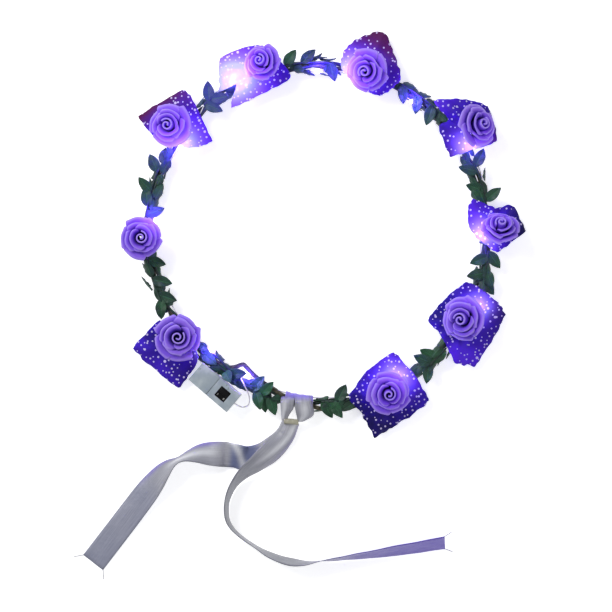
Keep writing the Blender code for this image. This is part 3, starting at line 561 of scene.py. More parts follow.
tail_keys = [(BROWN_LEAVES_AT, (TWISTS * BROWN_LEAVES_AT + BROWN_PHASE) % 360, LANE)]
tail_keys += [(angle, side, BUNDLE_RADIUS + BROWN_RADIUS + gap * MM) for angle, side, gap in BROWN_TAIL]
brown_end = [by_ring(*key) for key in smooth_line(tail_keys, 8)]
brown_line = strand(BROWN_TAIL[-1][0] - 360 + END_GAP, BROWN_LEAVES_AT, BROWN_PHASE) + brown_end[1:]
wrapped_wire("taped_wire", brown_line, BROWN_RADIUS, brown_tape, "brown_paper", "brown_wire")
green_line = strand(GREEN_START, GREEN_END, BROWN_PHASE + 180)
wrapped_wire("vine_wire", green_line, GREEN_RADIUS, green_vine, "green_vine", "green_strand")

# %% [markdown]
# ## The foam roses
#
# Each rose is die-cut from sheets of soft violet foam. A strip is rolled into a bud, and petals are glued
# round it in layers, each tucked under the next. A petal is a grid of points on a cup that opens outwards,
# with its outer edge curled back. Each layer is wider and lower than the one inside it. The foam's colour
# has a painted highlight along the petal rims and painted shade down between the petals, so the points
# carry marks for both.

# %% Foam
foam = Finish("violet foam", Emission_Strength=0.6)
painted_hollow_shade, painted_glow = foam.mark("painted_hollow_shade"), foam.mark("glow")
# Over the foam's own colours lie a painted violet glow near the lights, a painted highlight near the petal
# rims and painted shade low down between the petals.
foam.shade("Base Color", foam.layers(
    "6a40d8", (foam.cloud(60).ramp(0.3, 0.7), "8c66e4"), (painted_glow * 0.85, "9440ff"),
    (foam.mark("rim_highlight").ramp(0.6, 1.0) * 0.8, "ad94f4"), (painted_hollow_shade.ramp(0.05, 0.85), "2a1088"),
))
outer_side = 1 - painted_hollow_shade.ramp(0.0, 0.6)
# A painted glow: near a light the outer sides of the petals give off violet, whitest beside the light.
foam.shade("Emission Color", foam.layers(
    "000000", (painted_glow * outer_side, "5212d8"), (foam.mark("hot") * outer_side, "d0a0ff")
))
foam.shade("Roughness", foam.cloud(400) * 0.2 + 0.62)
foam.relief(foam.cloud(3200, 2) + foam.cloud(500, 2) * 1.5, 0.16 * MM)

# %% Petals
ROSE_RADIUS, ROSE_HEIGHT, ROSE_GAP, CLOTH_THICKNESS = 12.2 * MM, 14.5 * MM, 0.6 * MM, 0.5 * MM
# Each rose: angle round the ring, distance outside it in mm, which way and how far it leans, its turn, and
# how far its petals spread.
ROSES = {
    "a": (143.1, 6.8, 180, 12, 40, 1.02),
    "b": (107.2, 4.9, 160, 20, 10, 0.9),
    "c": (72.8, -0.7, 215, 24, 75, 1.02),
    "d": (34.4, 12.5, 15, 36, 120, 1.06),
    "e": (2.2, 6.3, 85, 38, 200, 0.94),
    "f": (180.7, 3.1, 0, 4, 160, 1.0),
    "g": (216.3, 4.6, 20, 4, 95, 1.12),
    "h": (330.5, -1.1, 185, 28, 60, 1.08),
    "i": (294.8, 1.6, 275, 10, 230, 1.04),
}
# The rose's outline in the CAD model: radius and height as shares, used to find how high it must sit.
ROSE_PROFILE = (
    (0.28, 0.0), (0.72, 0.17), (0.98, 0.5), (0.88, 0.76), (0.62, 0.84), (0.5, 0.68), (0.42, 0.92),
)
# Each layer: petals, reach and height in mm, half a petal's width in degrees, flare and curl in mm.
LAYERS = (
    (5, 8.3, 8.6, 46, 2.4, 1.4),
    (4, 7.1, 11.2, 55, 0.9, 1.2),
    (2, 5.3, 13.2, 98, 0.5, 0.9),
)
FOAM_THICKNESS, PETAL_TUCK = 0.85 * MM, 0.55


def rose_frame(key):
    """Where the rose's base sits, clear of the cloth under it, and the direction that it faces."""
    angle, aside, towards, lean, _, _ = ROSES[key]
    tilt = radians(lean)
    axis = direction(towards) * sin(tilt) + UP * cos(tilt)
    dip = max(r * ROSE_RADIUS * sin(tilt) - h * ROSE_HEIGHT * cos(tilt) for r, h in ROSE_PROFILE)
    base = direction(angle) * (ring_radius(angle) + aside * MM)
    base = base - direction(towards) * ROSE_HEIGHT / 2 * sin(tilt)
    base.z = CLOTH_HEIGHT + CLOTH_THICKNESS / 2 + ROSE_GAP + max(dip, 0.0)
    return base, axis


def petal_place(turn, half_width, reach, tall, flare, curl, wild):
    """A function that puts a petal's points: up it from 0 to 1, and across it from 0 to 1."""

    def place(up, across):
        side = 2 * across - 1
        if up < 0.5:
            width = 0.42 + 0.58 * sin(pi * up)
        else:
            width = sqrt(1 - (0.74 * (up - 0.5) / 0.5) ** 2)
        angle = turn + side * half_width * width
        over = max(0.0, up - 0.72) / 0.28
        edge = max(0.0, abs(side) - 0.62) / 0.38
        out = reach * (0.22 + 0.78 * sin(pi / 2 * up**0.85)) + flare * up**2
        out += curl * over**1.6 + 0.45 * curl * edge**2 * up + PETAL_TUCK * side
        out += 0.5 * jitter(angle / 30, up * 1.5, wild) * up
        high = tall * sin(pi / 2 * up**0.95) - 0.75 * curl * over**2 - 0.09 * tall * side**2 * up
        high += 0.45 * jitter(angle / 25, wild, up) * up
        point = direction(angle) * out * MM + UP * high * MM
        near_rim = max(up**3, edge**2 * up)
        return point, near_rim, 1 - up

    return place


def bud_place(turns, inner, outer, tall):
    """The rolled strip in the middle of a rose."""

    def place(up, along):
        angle = 360 * turns * along
        out = inner + (outer - inner) * along + 0.5 * (1 - up)
        high = tall * (0.35 + 0.65 * up) - 0.9 * along * up
        return direction(angle) * out * MM + UP * high * MM, up**3, 1 - up

    return place


# %% [markdown]
# A rose on the crown stands on its own thin wire. The wire goes down through the ribbon square and twice
# round the twisted pair, which is what holds the rose.

# %% Nine roses
stem_finish = wire_finish("rose stem wire", "2a5a3c", "15301f", "0c1c14", 0.5)
STEM_RADIUS, STEM_LANE, STEM_TURNS = 0.6 * MM, BUNDLE_RADIUS + 1.0 * MM, 2
for key, (ring_angle, _, _, _, spin, spread) in ROSES.items():
    base, axis = rose_frame(key)
    stand = Matrix.Translation(base) @ axis.to_track_quat("Z", "Y").to_matrix().to_4x4()
    stand = stand @ Matrix.Rotation(radians(spin), 4, "Z")
    draws = random.Random(ord(key))
    shape = Shape()

    def add(rows, columns, place, inside):
        def put(up, across):
            point, near_rim, low = place(up, across)
            spot = stand @ Vector((point.x * spread, point.y * spread, point.z))
            # Near its top a petal gets a painted highlight, and low down inside the rose it gets painted
            # shade.
            return spot, {"rim_highlight": near_rim, "painted_hollow_shade": low * inside}

        shape.grid(rows, columns, put)

    for layer, (count, reach, tall, half_width, flare, curl) in enumerate(LAYERS):
        for index in range(count):
            turn = 360 * (index + 0.37 * layer) / count + draws.uniform(-6, 6)
            place = petal_place(
                turn, half_width * draws.uniform(0.94, 1.06), reach, tall * draws.uniform(0.95, 1.04),
                flare * draws.uniform(0.8, 1.25), curl * draws.uniform(0.7, 1.3), 7 * layer + index,
            )
            add(9, 11, place, 0.75 + 0.08 * layer)
    add(5, 36, bud_place(1.55, 0.6, 3.8, 14.6), 1.0)
    shape.piece(f"bloom_{key}", foam, "foam", "crown", [f"rose_{key}"], FOAM_THICKNESS, 1)

    foot = base - axis * ((base.z - RING_HEIGHT - STEM_LANE) / axis.z)
    top = degrees(atan2(foot.y, foot.x)) % 360
    line = [base + (foot - base) * share for share in (0.0, 0.35, 0.7, 0.92)]
    for turn in evenly(0, 360 * STEM_TURNS, 20):
        line.append(by_ring(top + 2.0 * turn / 360, 90 + turn, STEM_LANE))
    wire(f"stem_{key}", smooth_points(line, 2), STEM_RADIUS, 8, stem_finish, "green_vine", untaped(60 * MM))
print("petals in each rose:", sum(layer[0] for layer in LAYERS))

# %% [markdown]
# ## The printed ribbon squares
#
# Squares of ribbed ribbon are pinched under the roses, so they lie in soft folds that run out from the
# pinch. The print is a night sky: deep blue and violet, going to plum at some corners, with white dots of
# several sizes. The dots come from a Voronoi pattern, whose cells each get one dot, and the ribs from a
# fine wave that is bump only, because they are half a millimetre apart.

# %% Starry ribbon
starry = Finish("starry ribbon", Specular_IOR_Level=0.2, Emission_Strength=0.9)
weave, painted_glow = starry.mark("weave", "Vector"), starry.mark("glow")


def dots(scale, size, share):
    """Round dots: one in each Voronoi cell, and only in some of the cells."""
    values = {"Vector": weave, "Scale": scale, "Randomness": 0.75}
    distance, chance = (
        starry.node("ShaderNodeTexVoronoi", {"voronoi_dimensions": "2D"}, values, output)
        for output in ("Distance", "Color")
    )
    there, bigger = (starry.node("ShaderNodeSeparateColor", None, {"Color": chance}, at) for at in (0, 1))
    radius = bigger * size * 0.6 + size * 0.6
    return (radius - distance).ramp(-0.012, 0.03) * there.maths("LESS_THAN", share)


stars = dots(310, 0.17, 0.8).maths("MAXIMUM", dots(140, 0.11, 0.6))
# Over the print lies a painted violet glow near the lights.
starry.shade("Base Color", starry.layers(
    "15087a", (starry.cloud(70, 4, weave).ramp(0.36, 0.64), "3412c0"),
    (starry.cloud(150, 3, weave).ramp(0.5, 0.75) * 0.6, "0e0644"), (starry.mark("plum"), "560d38"),
    (starry.mark("navy"), "0a0522"), (starry.mark("bright"), "5a24f0"),
    (painted_glow.ramp(0.0, 1.0) * 0.8, "7a34f0"), (stars * 0.85, "d9ccf8"),
))
# A painted glow: near a light the ribbon gives off violet, whitest beside the light, and its dots shine
# too.
starry.shade("Emission Color", starry.layers(
    "000000", (painted_glow, "541ade"), (starry.mark("hot"), "c6d8ff"), (stars * painted_glow, "b9a0ff")
))
ribs = {"bands_direction": "X", "wave_profile": "SIN"}
ribs = starry.node("ShaderNodeTexWave", ribs, {"Vector": weave, "Scale": 560.0})
starry.relief(ribs + starry.cloud(1800, 2, weave) * 0.5, 0.1 * MM)
starry.shade("Roughness", ribs * 0.12 + 0.5)

# %% Squares and their folds
CLOTH_DROOP, CLOTH_LEVEL, CLOTH_LOWEST, SQUARE_SIDE = 0.32, 1.6, 0.6 * MM, 34 * MM
SHEET_THICKNESS = 0.35 * MM
# Each square's outline: direction in degrees and reach in mm, from the rose's middle.
OUTLINES = {
    "a": ((-18, 26.5), (69, 24.8), (160, 21.3), (205, 12), (250, 9), (312, 17)),
    "b": ((86, 10.1), (112, 13.4), (169, 26.2), (211, 31.1), (218, 20.1), (234, 32.5), (334, 18.8),
          (42, 9)),
    "c": ((-60, 16.2), (-12, 20.9), (25, 19.6), (68, 28), (107, 21.3), (143, 18.4), (171, 15.6), (235, 9)),
    "d": ((59, 15.6), (118, 19.9), (149, 30.2), (165, 17), (179, 22.6), (229, 23), (262, 14), (-30, 15.6)),
    "e": ((-30, 12.3), (-2, 17.4), (54, 17), (66, 16.4), (95, 13), (129, 23), (144, 22.6), (176, 17.4),
          (202, 13.6), (268, 14)),
    "g": ((-62, 21), (-47, 17.5), (40, 10), (139, 15.7), (194, 29.9), (268, 31.5)),
    "h": ((6, 26.2), (45, 22), (85, 22.4), (135, 16), (182, 20.8), (217, 16.3), (259, 26), (283, 29.5),
          (295, 26.9)),
    "i": ((-12, 25.9), (35, 19.5), (82, 24.3), (135, 18), (187, 24.2), (220, 20.5), (254, 28.7),
          (300, 20.5)),
}
# Each square's folds: direction, height in mm and half width in degrees. Then the print's turn, how rounded
# the edges are, and where the print changes: a direction, and how strongly.
FOLDS = {
    "a": (((60, 2.6, 12), (128, 1.6, 16), (330, 1.8, 14)), 25, 0.3,
          {"plum": (125, 1.5), "bright": (-25, 0.5)}),
    "b": (((190, 2.0, 14), (238, 2.4, 10), (290, 1.8, 18)), 15, 0.45,
          {"plum": (130, 0.5), "bright": (-70, 0.6)}),
    "c": (((68, 2.2, 10), (20, 1.6, 14), (120, 1.8, 14)), 40, 0.75,
          {"plum": (65, 1.2), "bright": (-30, 0.4)}),
    "d": (((150, 2.4, 10), (205, 1.8, 14), (90, 1.6, 16)), -10, 0.5,
          {"plum": (-30, 1.3), "navy": (215, 0.5), "bright": (115, 0.6)}),
    "e": (((60, 1.6, 12), (140, 2.0, 12), (10, 1.6, 14)), 30, 0.5,
          {"navy": (20, 1.1), "bright": (150, 0.6)}),
    "g": (((205, 1.6, 14), (255, 1.8, 16), (150, 1.4, 12)), -38, 0.15,
          {"navy": (265, 0.35), "bright": (225, 0.3)}),
    "h": (((20, 1.6, 14), (95, 2.0, 10), (265, 2.2, 12), (190, 1.6, 12)), 35, 0.6,
          {"navy": (10, 0.8), "bright": (268, 0.8)}),
    "i": (((85, 2.2, 10), (190, 1.8, 12), (255, 2.0, 12), (345, 1.6, 12)), 30, 0.2,
          {"navy": (255, 0.7), "bright": (75, 0.3)}),
}
RINGS, EDGE_STEPS = 15, 12


def cloth_height(point):
    """The cloth lies over the wires and droops on both sides of them."""
    aside = abs(point.xy.length - ring_radius(degrees(atan2(point.y, point.x))))
    return max(CLOTH_LOWEST, CLOTH_HEIGHT - CLOTH_DROOP * max(0.0, aside - CLOTH_LEVEL * BUNDLE_RADIUS))


def towards(angle, aim, width):
    """1 in the direction aim, fading to 0 width degrees away from it."""
    return exp(-((((angle - aim + 180) % 360 - 180) / width) ** 2))


for key, outline in OUTLINES.items():
    ring_angle, aside = ROSES[key][:2]
    middle = direction(ring_angle) * (ring_radius(ring_angle) + aside * MM)
    base, axis = rose_frame(key)
    pinch = base
    for _ in range(4):
        pinch = base - axis * ((base.z - cloth_height(pinch)) / axis.z)
    folds, print_turn, round_edges, changes = FOLDS[key]
    corners = [middle + direction(aim) * reach * MM for aim, reach in outline]
    curved = smooth_points(corners[-2:] + corners + corners[:2], EDGE_STEPS)[2 * EDGE_STEPS :]
    edge = []
    for step_on in range(len(corners) * EDGE_STEPS):
        number, share = divmod(step_on, EDGE_STEPS)
        straight = corners[number].lerp(corners[(number + 1) % len(corners)], share / EDGE_STEPS)
        spot = straight.lerp(curved[step_on], round_edges)
        edge.append(middle + (spot - middle) * (0.98 + 0.055 * jitter(spot.x * 330, spot.y * 330)))
    turned = Matrix.Rotation(radians(-print_turn), 3, "Z")
    seed = 3.0 * ord(key)

    def place(out, around):
        rim_point = edge[round(around * len(edge)) % len(edge)]
        spot = Vector((pinch.x, pinch.y, 0)).lerp(rim_point, 0.03 + 0.97 * out)
        away = spot - middle
        angle = degrees(atan2(away.y, away.x))
        spot.z = cloth_height(spot)
        rise = sum(tall * towards(angle, aim, width) for aim, tall, width in folds)
        ripple = 0.5 + 0.5 * sin(radians(angle * 9 + seed * 40))
        spot.z += (rise * sin(pi * min(1.0, out * 0.75)) + 0.9 * ripple * out**2) * MM
        spot.z += 0.5 * MM * out * (0.5 + 0.5 * jitter(spot.x * 160, spot.y * 160, seed))
        flat = turned @ (spot - middle)
        reach = min(1.0, (away.length / (20 * MM)) ** 2)
        shades = {name: min(1.0, strength * towards(angle, aim, 62) * reach)
                  for name, (aim, strength) in changes.items()}
        plain = {"plum": 0.0, "navy": 0.0, "bright": 0.0}
        return spot, {"weave": (flat.x + seed, flat.y, 0.0)} | plain | shades

    shape = Shape()
    shape.grid(RINGS, len(edge), place, wrap=True)
    square = shape.piece(f"starry_square_{key}", starry, "printed_ribbon",
                         stands_for=[f"cloth_square_{key}"], thickness=SHEET_THICKNESS)
print("ribbon squares:", len(OUTLINES))

# %% [markdown]
# ## The leaves
#
# Each sprig is a thin plastic stem with cloth leaves pressed into shape: a crease down the middle, side
# veins and slightly wavy edges. The leaves stand where the CAD model has them. The crease and the cupped
# halves are geometry, and the side veins are bump and a paler line.

# %% Leaf cloth
leaf = Finish("leaf cloth")
sideways = leaf.mark("across").maths("ABSOLUTE")
side_veins = ((leaf.mark("along") * 7.0 - sideways * 2.6) * (2 * pi)).maths("SINE").ramp(0.86, 1.0)
veins = side_veins.maths("MAXIMUM", (1 - sideways).ramp(0.86, 0.97))
# Near a light the leaves take a painted violet glow.
leaf.shade("Base Color", leaf.layers(
    "0d2a1c", (leaf.cloud(140).ramp(0.3, 0.7), "1c5230"), (leaf.mark("shade"), "122a34"),
    (leaf.mark("fresh"), "2f7038"), (leaf.mark("glow").ramp(0.0, 1.0) * 0.7, "3430a6"),
    (veins * 0.35, "3f7f58"),
))
leaf.shade("Roughness", leaf.cloud(300) * 0.25 + 0.38)
leaf.relief(leaf.cloud(2400, 2) * 0.5 - veins * 1.2, 0.14 * MM)

# %% Eleven sprigs
LEAF_LENGTH, LEAF_WIDTH, LEAF_THICKNESS, LEAF_SWEEP, STEM_PAST = 12 * MM, 6.6 * MM, 0.35 * MM, 2.2, 0.6
# Each sprig: side of the wires, the way its leaves point, and each leaf's angle, distance aside and lift,
# both in mm.
SPRIGS = {
    "1": (75, -1, ((155.5, 5.5, -0.4), (162.6, 7.0, 0.6), (167.5, 2.5, -0.4), (170.5, -6.0, 0.6))),
    "2": (75, -1, ((126.0, 7.5, -0.6), (127.8, -6.0, 0.8), (125.4, -1.0, 1.6))),
    "3": (75, -1, ((98.0, 5.5, -0.4), (92.5, 4.5, 0.6), (83.5, -8.0, -0.4))),
    "4": (75, -1, ((58.0, -5.0, -0.4), (52.0, -6.0, 0.6), (46.0, -7.0, -0.4))),
    "5": (75, 1, ((26.0, 6.0, -0.4), (24.0, -4.0, 0.6), (17.5, -4.5, -0.4), (14.2, 9.0, 0.6))),
    "6": (75, -1, ((-7.5, 5.0, -0.4), (-9.0, -6.0, 0.6), (-13.5, 4.0, -0.4), (-14.5, -8.0, 0.6),
                   (-16.5, 6.0, -1.6))),
    "7": (75, -1, ((-43.5, 1.5, -0.4), (-47.5, -9.5, 0.6), (-50.0, -7.0, 1.4), (-51.0, 5.0, -0.4))),
    "8": (100, 1, ((-80.5, -6.0, 0.6), (-82.5, 6.5, 1.6), (-85.5, 6.5, 0.2))),
    "9": (60, 1, ((256.0, 8.0, -0.8), (253.5, 10.0, -2.4), (253.0, -5.5, 3.2), (251.0, 8.0, 0.8),
                  (249.5, -7.5, 2.6))),
    "10": (75, 1, ((242.0, 1.8, -0.7), (240.0, -1.5, 2.2), (238.4, 3.0, 5.3), (227.5, 1.0, 0.4))),
    "11": (75, 1, ((204.5, 3.0, -0.4), (202.5, -3.0, 0.6), (197.0, -5.5, -0.4), (190.0, -6.5, 0.6))),
}


# How fresh a green the leaves of some sprigs have.
FRESH = {"9": 0.8, "10": 0.8}


def leaf_place(root, heading, length, width, draws, above=UP, cup=1.0, fresh=0.0):
    """A function that puts a leaf's points: along it and across it, both from 0 to 1."""
    side_way = above.cross(heading).normalized()
    lift_way = heading.cross(side_way)
    bend, cup, wave = draws.uniform(-1.2, 1.4), cup * draws.uniform(0.5, 1.3), draws.uniform(0, 9)
    twist, shade = radians(draws.uniform(-16, 16)), draws.uniform(0.0, 0.45)
    fresh = fresh * draws.uniform(0.2, 1.0)

    def place(along_leaf, across_leaf):
        side = 2 * across_leaf - 1
        belly = sin(pi * min(1.0, 0.04 + 0.96 * along_leaf) ** 0.82) ** 0.75
        half = width / 2 * (0.1 * (1 - along_leaf) + 0.98 * belly)
        turn = twist * along_leaf
        rise = bend * MM * sin(pi * along_leaf * 0.8) + cup * MM * abs(side) ** 1.3 * belly
        rise += 0.35 * MM * abs(side) * sin(along_leaf * 15 + wave + 2 * side)
        out = side_way * cos(turn) + lift_way * sin(turn)
        over = lift_way * cos(turn) - side_way * sin(turn)
        spot = root + heading * length * along_leaf + out * half * side + over * rise
        return spot, {"along": along_leaf, "across": side, "shade": shade, "fresh": fresh}

    return place


for key, (stem_side, way, leaves) in SPRIGS.items():
    roots = [angle - way * LEAF_SWEEP for angle, _, _ in leaves]
    line = along_ring(min(roots) - STEM_PAST, max(roots) + STEM_PAST, 1.0, stem_side, SPRIG_LANE)
    wire(f"sprig_stem_{key}", line,
         lambda share, turn: SPRIG_RADIUS * (1 + 0.15 * jitter(share * 9, turn)), 8,
         green_vine, "leaf", untaped(30 * MM), [f"leaf_sprig_{key}"])
    draws = random.Random(int(key))
    shape = Shape()
    for (angle, aside, lift), root_angle in zip(leaves, roots):
        root = by_ring(root_angle, stem_side, SPRIG_LANE)
        middle = by_ring(angle, 0, aside * MM)
        middle.z = root.z + lift * MM
        heading = (middle - root).normalized()
        length, width = LEAF_LENGTH * draws.uniform(0.92, 1.0), LEAF_WIDTH * draws.uniform(0.9, 1.02)
        shape.grid(13, 9, leaf_place(root, heading, length, width, draws, fresh=FRESH.get(key, 0.15)))
    shape.piece(f"sprig_leaves_{key}", leaf, "leaf", thickness=LEAF_THICKNESS, rounds=1)
print("leaves:", sum(len(leaves) for _, _, leaves in SPRIGS.values()))

# %% [markdown]
# Between the roses the wires are also wrapped in smaller leaves, which hide most of them. These lie close
# along the pair, each one bent over it, and they point the way that the crown was wound.

# %% Small leaves along the wires
LEAFY = (
    (11, 27), (42, 62), (86, 99), (119, 133), (153, 173), (188, 207), (226, 259), (273, 286), (308, 322),
    (339, 354),
)
WRAP_STEP, WRAP_REACH, WRAP_LENGTH, WRAP_WIDTH = 1.5, SPRIG_LANE - 0.4 * MM, 9.5 * MM, 5.8 * MM
draws = random.Random(7)
shape = Shape()
for start, end in LEAFY:
    for angle in evenly(start, end, WRAP_STEP):
        side = draws.choice((10, 45, 75, 110, 140, 170)) + draws.uniform(-15, 15)
        root = by_ring(angle, side, WRAP_REACH)
        above = (root - by_ring(angle, 0, 0)).normalized()
        way = direction(angle - 90 if angle > 28 else angle + 90)
        heading = way + above * draws.uniform(0.0, 0.2) + direction(angle) * draws.uniform(-0.25, 0.25)
        length, width = WRAP_LENGTH * draws.uniform(0.7, 1.1), WRAP_WIDTH * draws.uniform(0.75, 1.1)
        shape.grid(9, 7, leaf_place(root, heading.normalized(), length, width, draws, above, -1.1))
shape.piece("wrapped_leaves", leaf, "leaf", thickness=LEAF_THICKNESS, rounds=1)

# The bare stems of those leaves lie along the pair too.
RUNNER_RADIUS, RUNNER_REACH = 0.8 * MM, BUNDLE_RADIUS + 0.9 * MM
for number, (start, end) in enumerate(LEAFY, start=1):
    spread = evenly(start - 3, end + 3, 1.0)
    line = [by_ring(angle, 112 + 20 * sin(angle / 3), RUNNER_REACH) for angle in spread]
    wire(f"leaf_runner_{number}", line,
         lambda share, turn: RUNNER_RADIUS * (1 + 0.25 * jitter(share * 12, turn, start)), 10,
         green_vine, "leaf", untaped(40 * MM))

# %% [markdown]
# ## The battery box
#
# The box is three moulded pieces of milky plastic: a tray, a cover that comes off over the button cells,
# and a deck with the switch. Moulded plastic never has sharp edges, so each CAD piece is copied and its
# edges get a small bevel, which catches the light as a thin line. The plastic is a little clear and cloudy.

# %% Plastics and metals
milky = Finish("milky plastic", Transmission_Weight=0.25, IOR=1.46, Coat_Weight=0.15)
milky.shade("Base Color", milky.mix(milky.cloud(120).ramp(0.3, 0.7), "cfd8dc", "a9b6c0"))
milky.shade("Roughness", milky.cloud(260, 4) * 0.22 + 0.2)
milky.relief(milky.cloud(900, 3), 0.05 * MM)
black_plastic = Finish("black switch plastic", Roughness=0.3, Specular_IOR_Level=0.2)
black_plastic.shade("Base Color", black_plastic.mix(black_plastic.cloud(500), "050506", "101012"))
black_plastic.relief(black_plastic.cloud(3000, 2), 0.05 * MM)
cell_steel = Finish("cell steel", Metallic=1.0)
cell_steel.shade("Base Color", cell_steel.mix(cell_steel.cloud(300), "b9b9b6", "d2d2cf"))
cell_steel.shade("Roughness", cell_steel.cloud(1500, 4) * 0.3 + 0.15)
contact_metal = Finish("plated contact", Metallic=1.0)
contact_metal.shade("Base Color", contact_metal.mix(contact_metal.cloud(400), "d8b877", "b89654"))
contact_metal.shade("Roughness", contact_metal.cloud(900) * 0.25 + 0.2)

# %% Moulded pieces


def moulded(node, name, finish, body, bevel):
    """A copy of a CAD piece with rounded edges."""
    shape = bmesh.new()
    shape.from_mesh(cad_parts[node].data)
    bmesh.ops.remove_doubles(shape, verts=shape.verts[:], dist=0.001 * MM)
    bmesh.ops.dissolve_limit(shape, angle_limit=radians(4), verts=shape.verts[:], edges=shape.edges[:])
    sharp = [edge for edge in shape.edges if len(edge.link_faces) == 2 and edge.calc_face_angle() > 0.5]
    bmesh.ops.bevel(shape, geom=sharp, offset=bevel, segments=3, profile=0.5, affect="EDGES",
                    clamp_overlap=True)
    data = bpy.data.meshes.new(name)
    shape.to_mesh(data)
    shape.free()
    dressed(name, data, finish, body, [node])
    data.set_sharp_from_angle(angle=radians(40))


moulded("battery_housing", "box_tray", milky, "crown", 0.3 * MM)
moulded("switch_deck", "box_deck", milky, "crown", 0.2 * MM)
moulded("battery_cover", "box_cover", milky, "cover", 0.2 * MM)
moulded("switch_body", "switch_case", black_plastic, "crown", 0.15 * MM)
moulded("switch_knob", "switch_slider", black_plastic, "knob", 0.25 * MM)
for number in (1, 2, 3):
    moulded(f"button_cell_{number}", f"cell_{number}", cell_steel, "crown", 0.25 * MM)
# The two marks that the maker prints beside the slider's track.
SWITCH_AT, TRACK_FLOOR, MARK_THICKNESS = 6.2 * MM, 11.0 * MM, 0.12 * MM
marks = Shape()
for side in (-1, 1):

    def mark_place(up, around):
        spoke = direction(360 * around + 45) * 0.55 * MM
        corner = Vector((SWITCH_AT + side * 2.3 * MM + spoke.x, spoke.y * 1.6 - 2.0 * MM, TRACK_FLOOR))
        return box_place @ (corner + UP * MARK_THICKNESS * up), {}

    marks.grid(2, 4, mark_place, wrap=True, capped=True)
print_white = Finish("printed mark", Roughness=0.6)
print_white.shade("Base Color", print_white.mix(print_white.cloud(900), "d8d8d4", "a8a8a6"))
marks.piece("switch_marks", print_white, "black_plastic")
for node in ("contact_spring", "side_contact"):
    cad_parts[node].data.materials.clear()
    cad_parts[node].data.materials.append(contact_metal.material)

# %% [markdown]
# ## The satin ribbon
#
# One length of pale grey satin is hitched over the wires, drawn together in a fold below them, and its two
# ends lie on the table in long curves that roll over onto their edges. The violet light tints some of it.
# Satin shines along its threads, so it has a low roughness that varies in fine streaks along the ribbon,
# and a shallow weave. A ribbon is narrower where it is cupped, because its width goes round the curve.

# %% Satin
satin = Finish("pale satin", Anisotropic=0.4)
threads = satin.mark("weave", "Vector")
stretched = satin.node("ShaderNodeMapping", None, {"Vector": threads, "Scale": (2600, 60, 1)})
streaks = satin.cloud(1.0, 4, stretched)
# Painted light on the satin: violet is painted violet light, dark is painted shade where the ribbon turns
# away and at the sides of the legs, pale is a painted highlight, and blue is painted shade under the other
# tail and a blue-grey towards the short tail's end.
satin.shade("Base Color", satin.layers(
    "96969f", (streaks.ramp(0.35, 0.65), "adadb5"), (satin.cloud(45, 2).ramp(0.35, 0.7) * 0.5, "8a8c98"),
    (satin.mark("blue") * 0.8, "636e9a"), (satin.mark("violet"), "6f58d0"), (satin.mark("olive"), "a8a48a"),
    (satin.mark("dark"), "4f545e"), (satin.mark("pale"), "dadbe0"),
))
satin.shade("Roughness", streaks * 0.22 + 0.27)
satin.relief(streaks * 0.5 + satin.cloud(2200, 2) * 0.3 + satin.cloud(420, 2) * 2.2, 0.12 * MM)

# %% The two tails
RIBBON_WIDTH, RIBBON_THICKNESS, HITCH_AT = 15 * MM, 0.5 * MM, 264
THREAD_RADIUS, THREAD_REACH = 0.2 * MM, (-0.5, 0.8, 2.0, 3.1, 4.2)
hitch_middle = direction(HITCH_AT) * ring_radius(HITCH_AT)
# Each point: x and y in mm from the hitch, the gap under the ribbon in mm, and its roll in degrees.
LONG_TAIL = (
    (-4.6, -12.2, 6.6, 0), (-5.9, -15.6, 6.5, 0), (-8.1, -20.4, 6.2, 0), (-11.7, -25.6, 5.0, -14),
    (-17.9, -32.0, 4.1, -30),
    (-25.5, -38.0, 3.3, -46), (-32.7, -43.2, 1.8, -60), (-38.9, -50.6, 0.6, -72), (-42.3, -58.6, 0.6, -80),
    (-42.9, -66.4, 0.6, -83), (-41.3, -72.8, 0.5, -86), (-36.1, -79.0, 0.5, -90), (-27.3, -85.6, 0.5, -91),
    (-17.3, -91.4, 0.5, -85), (-6.7, -95.2, 0.8, -80), (3.3, -96.2, 0.5, -88), (11.9, -95.4, 0.5, -97),
    (20.9, -94.2, 0.9, -104), (32.3, -92.6, 0.6, -110), (48.7, -90.4, 0.5, -118), (67.3, -87.6, 0.5, -124),
    (87.1, -84.4, 0.3, -127),
)
SHORT_TAIL = (
    (-5.7, -15.6, 4.5, 0), (-8.1, -20.6, 3.0, 0), (-13.3, -26.6, 1.6, 0), (-21.3, -32.6, 0.8, 0),
    (-30.3, -34.8, 0.4, -4), (-38.3, -33.0, 0.9, -14), (-46.9, -32.0, 2.1, 10), (-55.7, -31.6, 0.8, 34),
    (-64.3, -32.4, 0.3, 64), (-72.1, -35.2, 0.4, 80), (-79.3, -40.6, 0.4, 56), (-85.7, -48.0, 0.4, 32),
    (-94.5, -59.4, 0.4, 12), (-105.7, -74.2, 0.4, 2), (-123.4, -97.2, 0.3, 0),
)


def satin_marks(across, along, **marked):
    """Where a point is on the ribbon, and how much of each colour it has."""
    plain = dict.fromkeys(("violet", "blue", "olive", "pale", "dark"), 0.0)
    return {"weave": (across, along, 0.0), **plain, **marked}


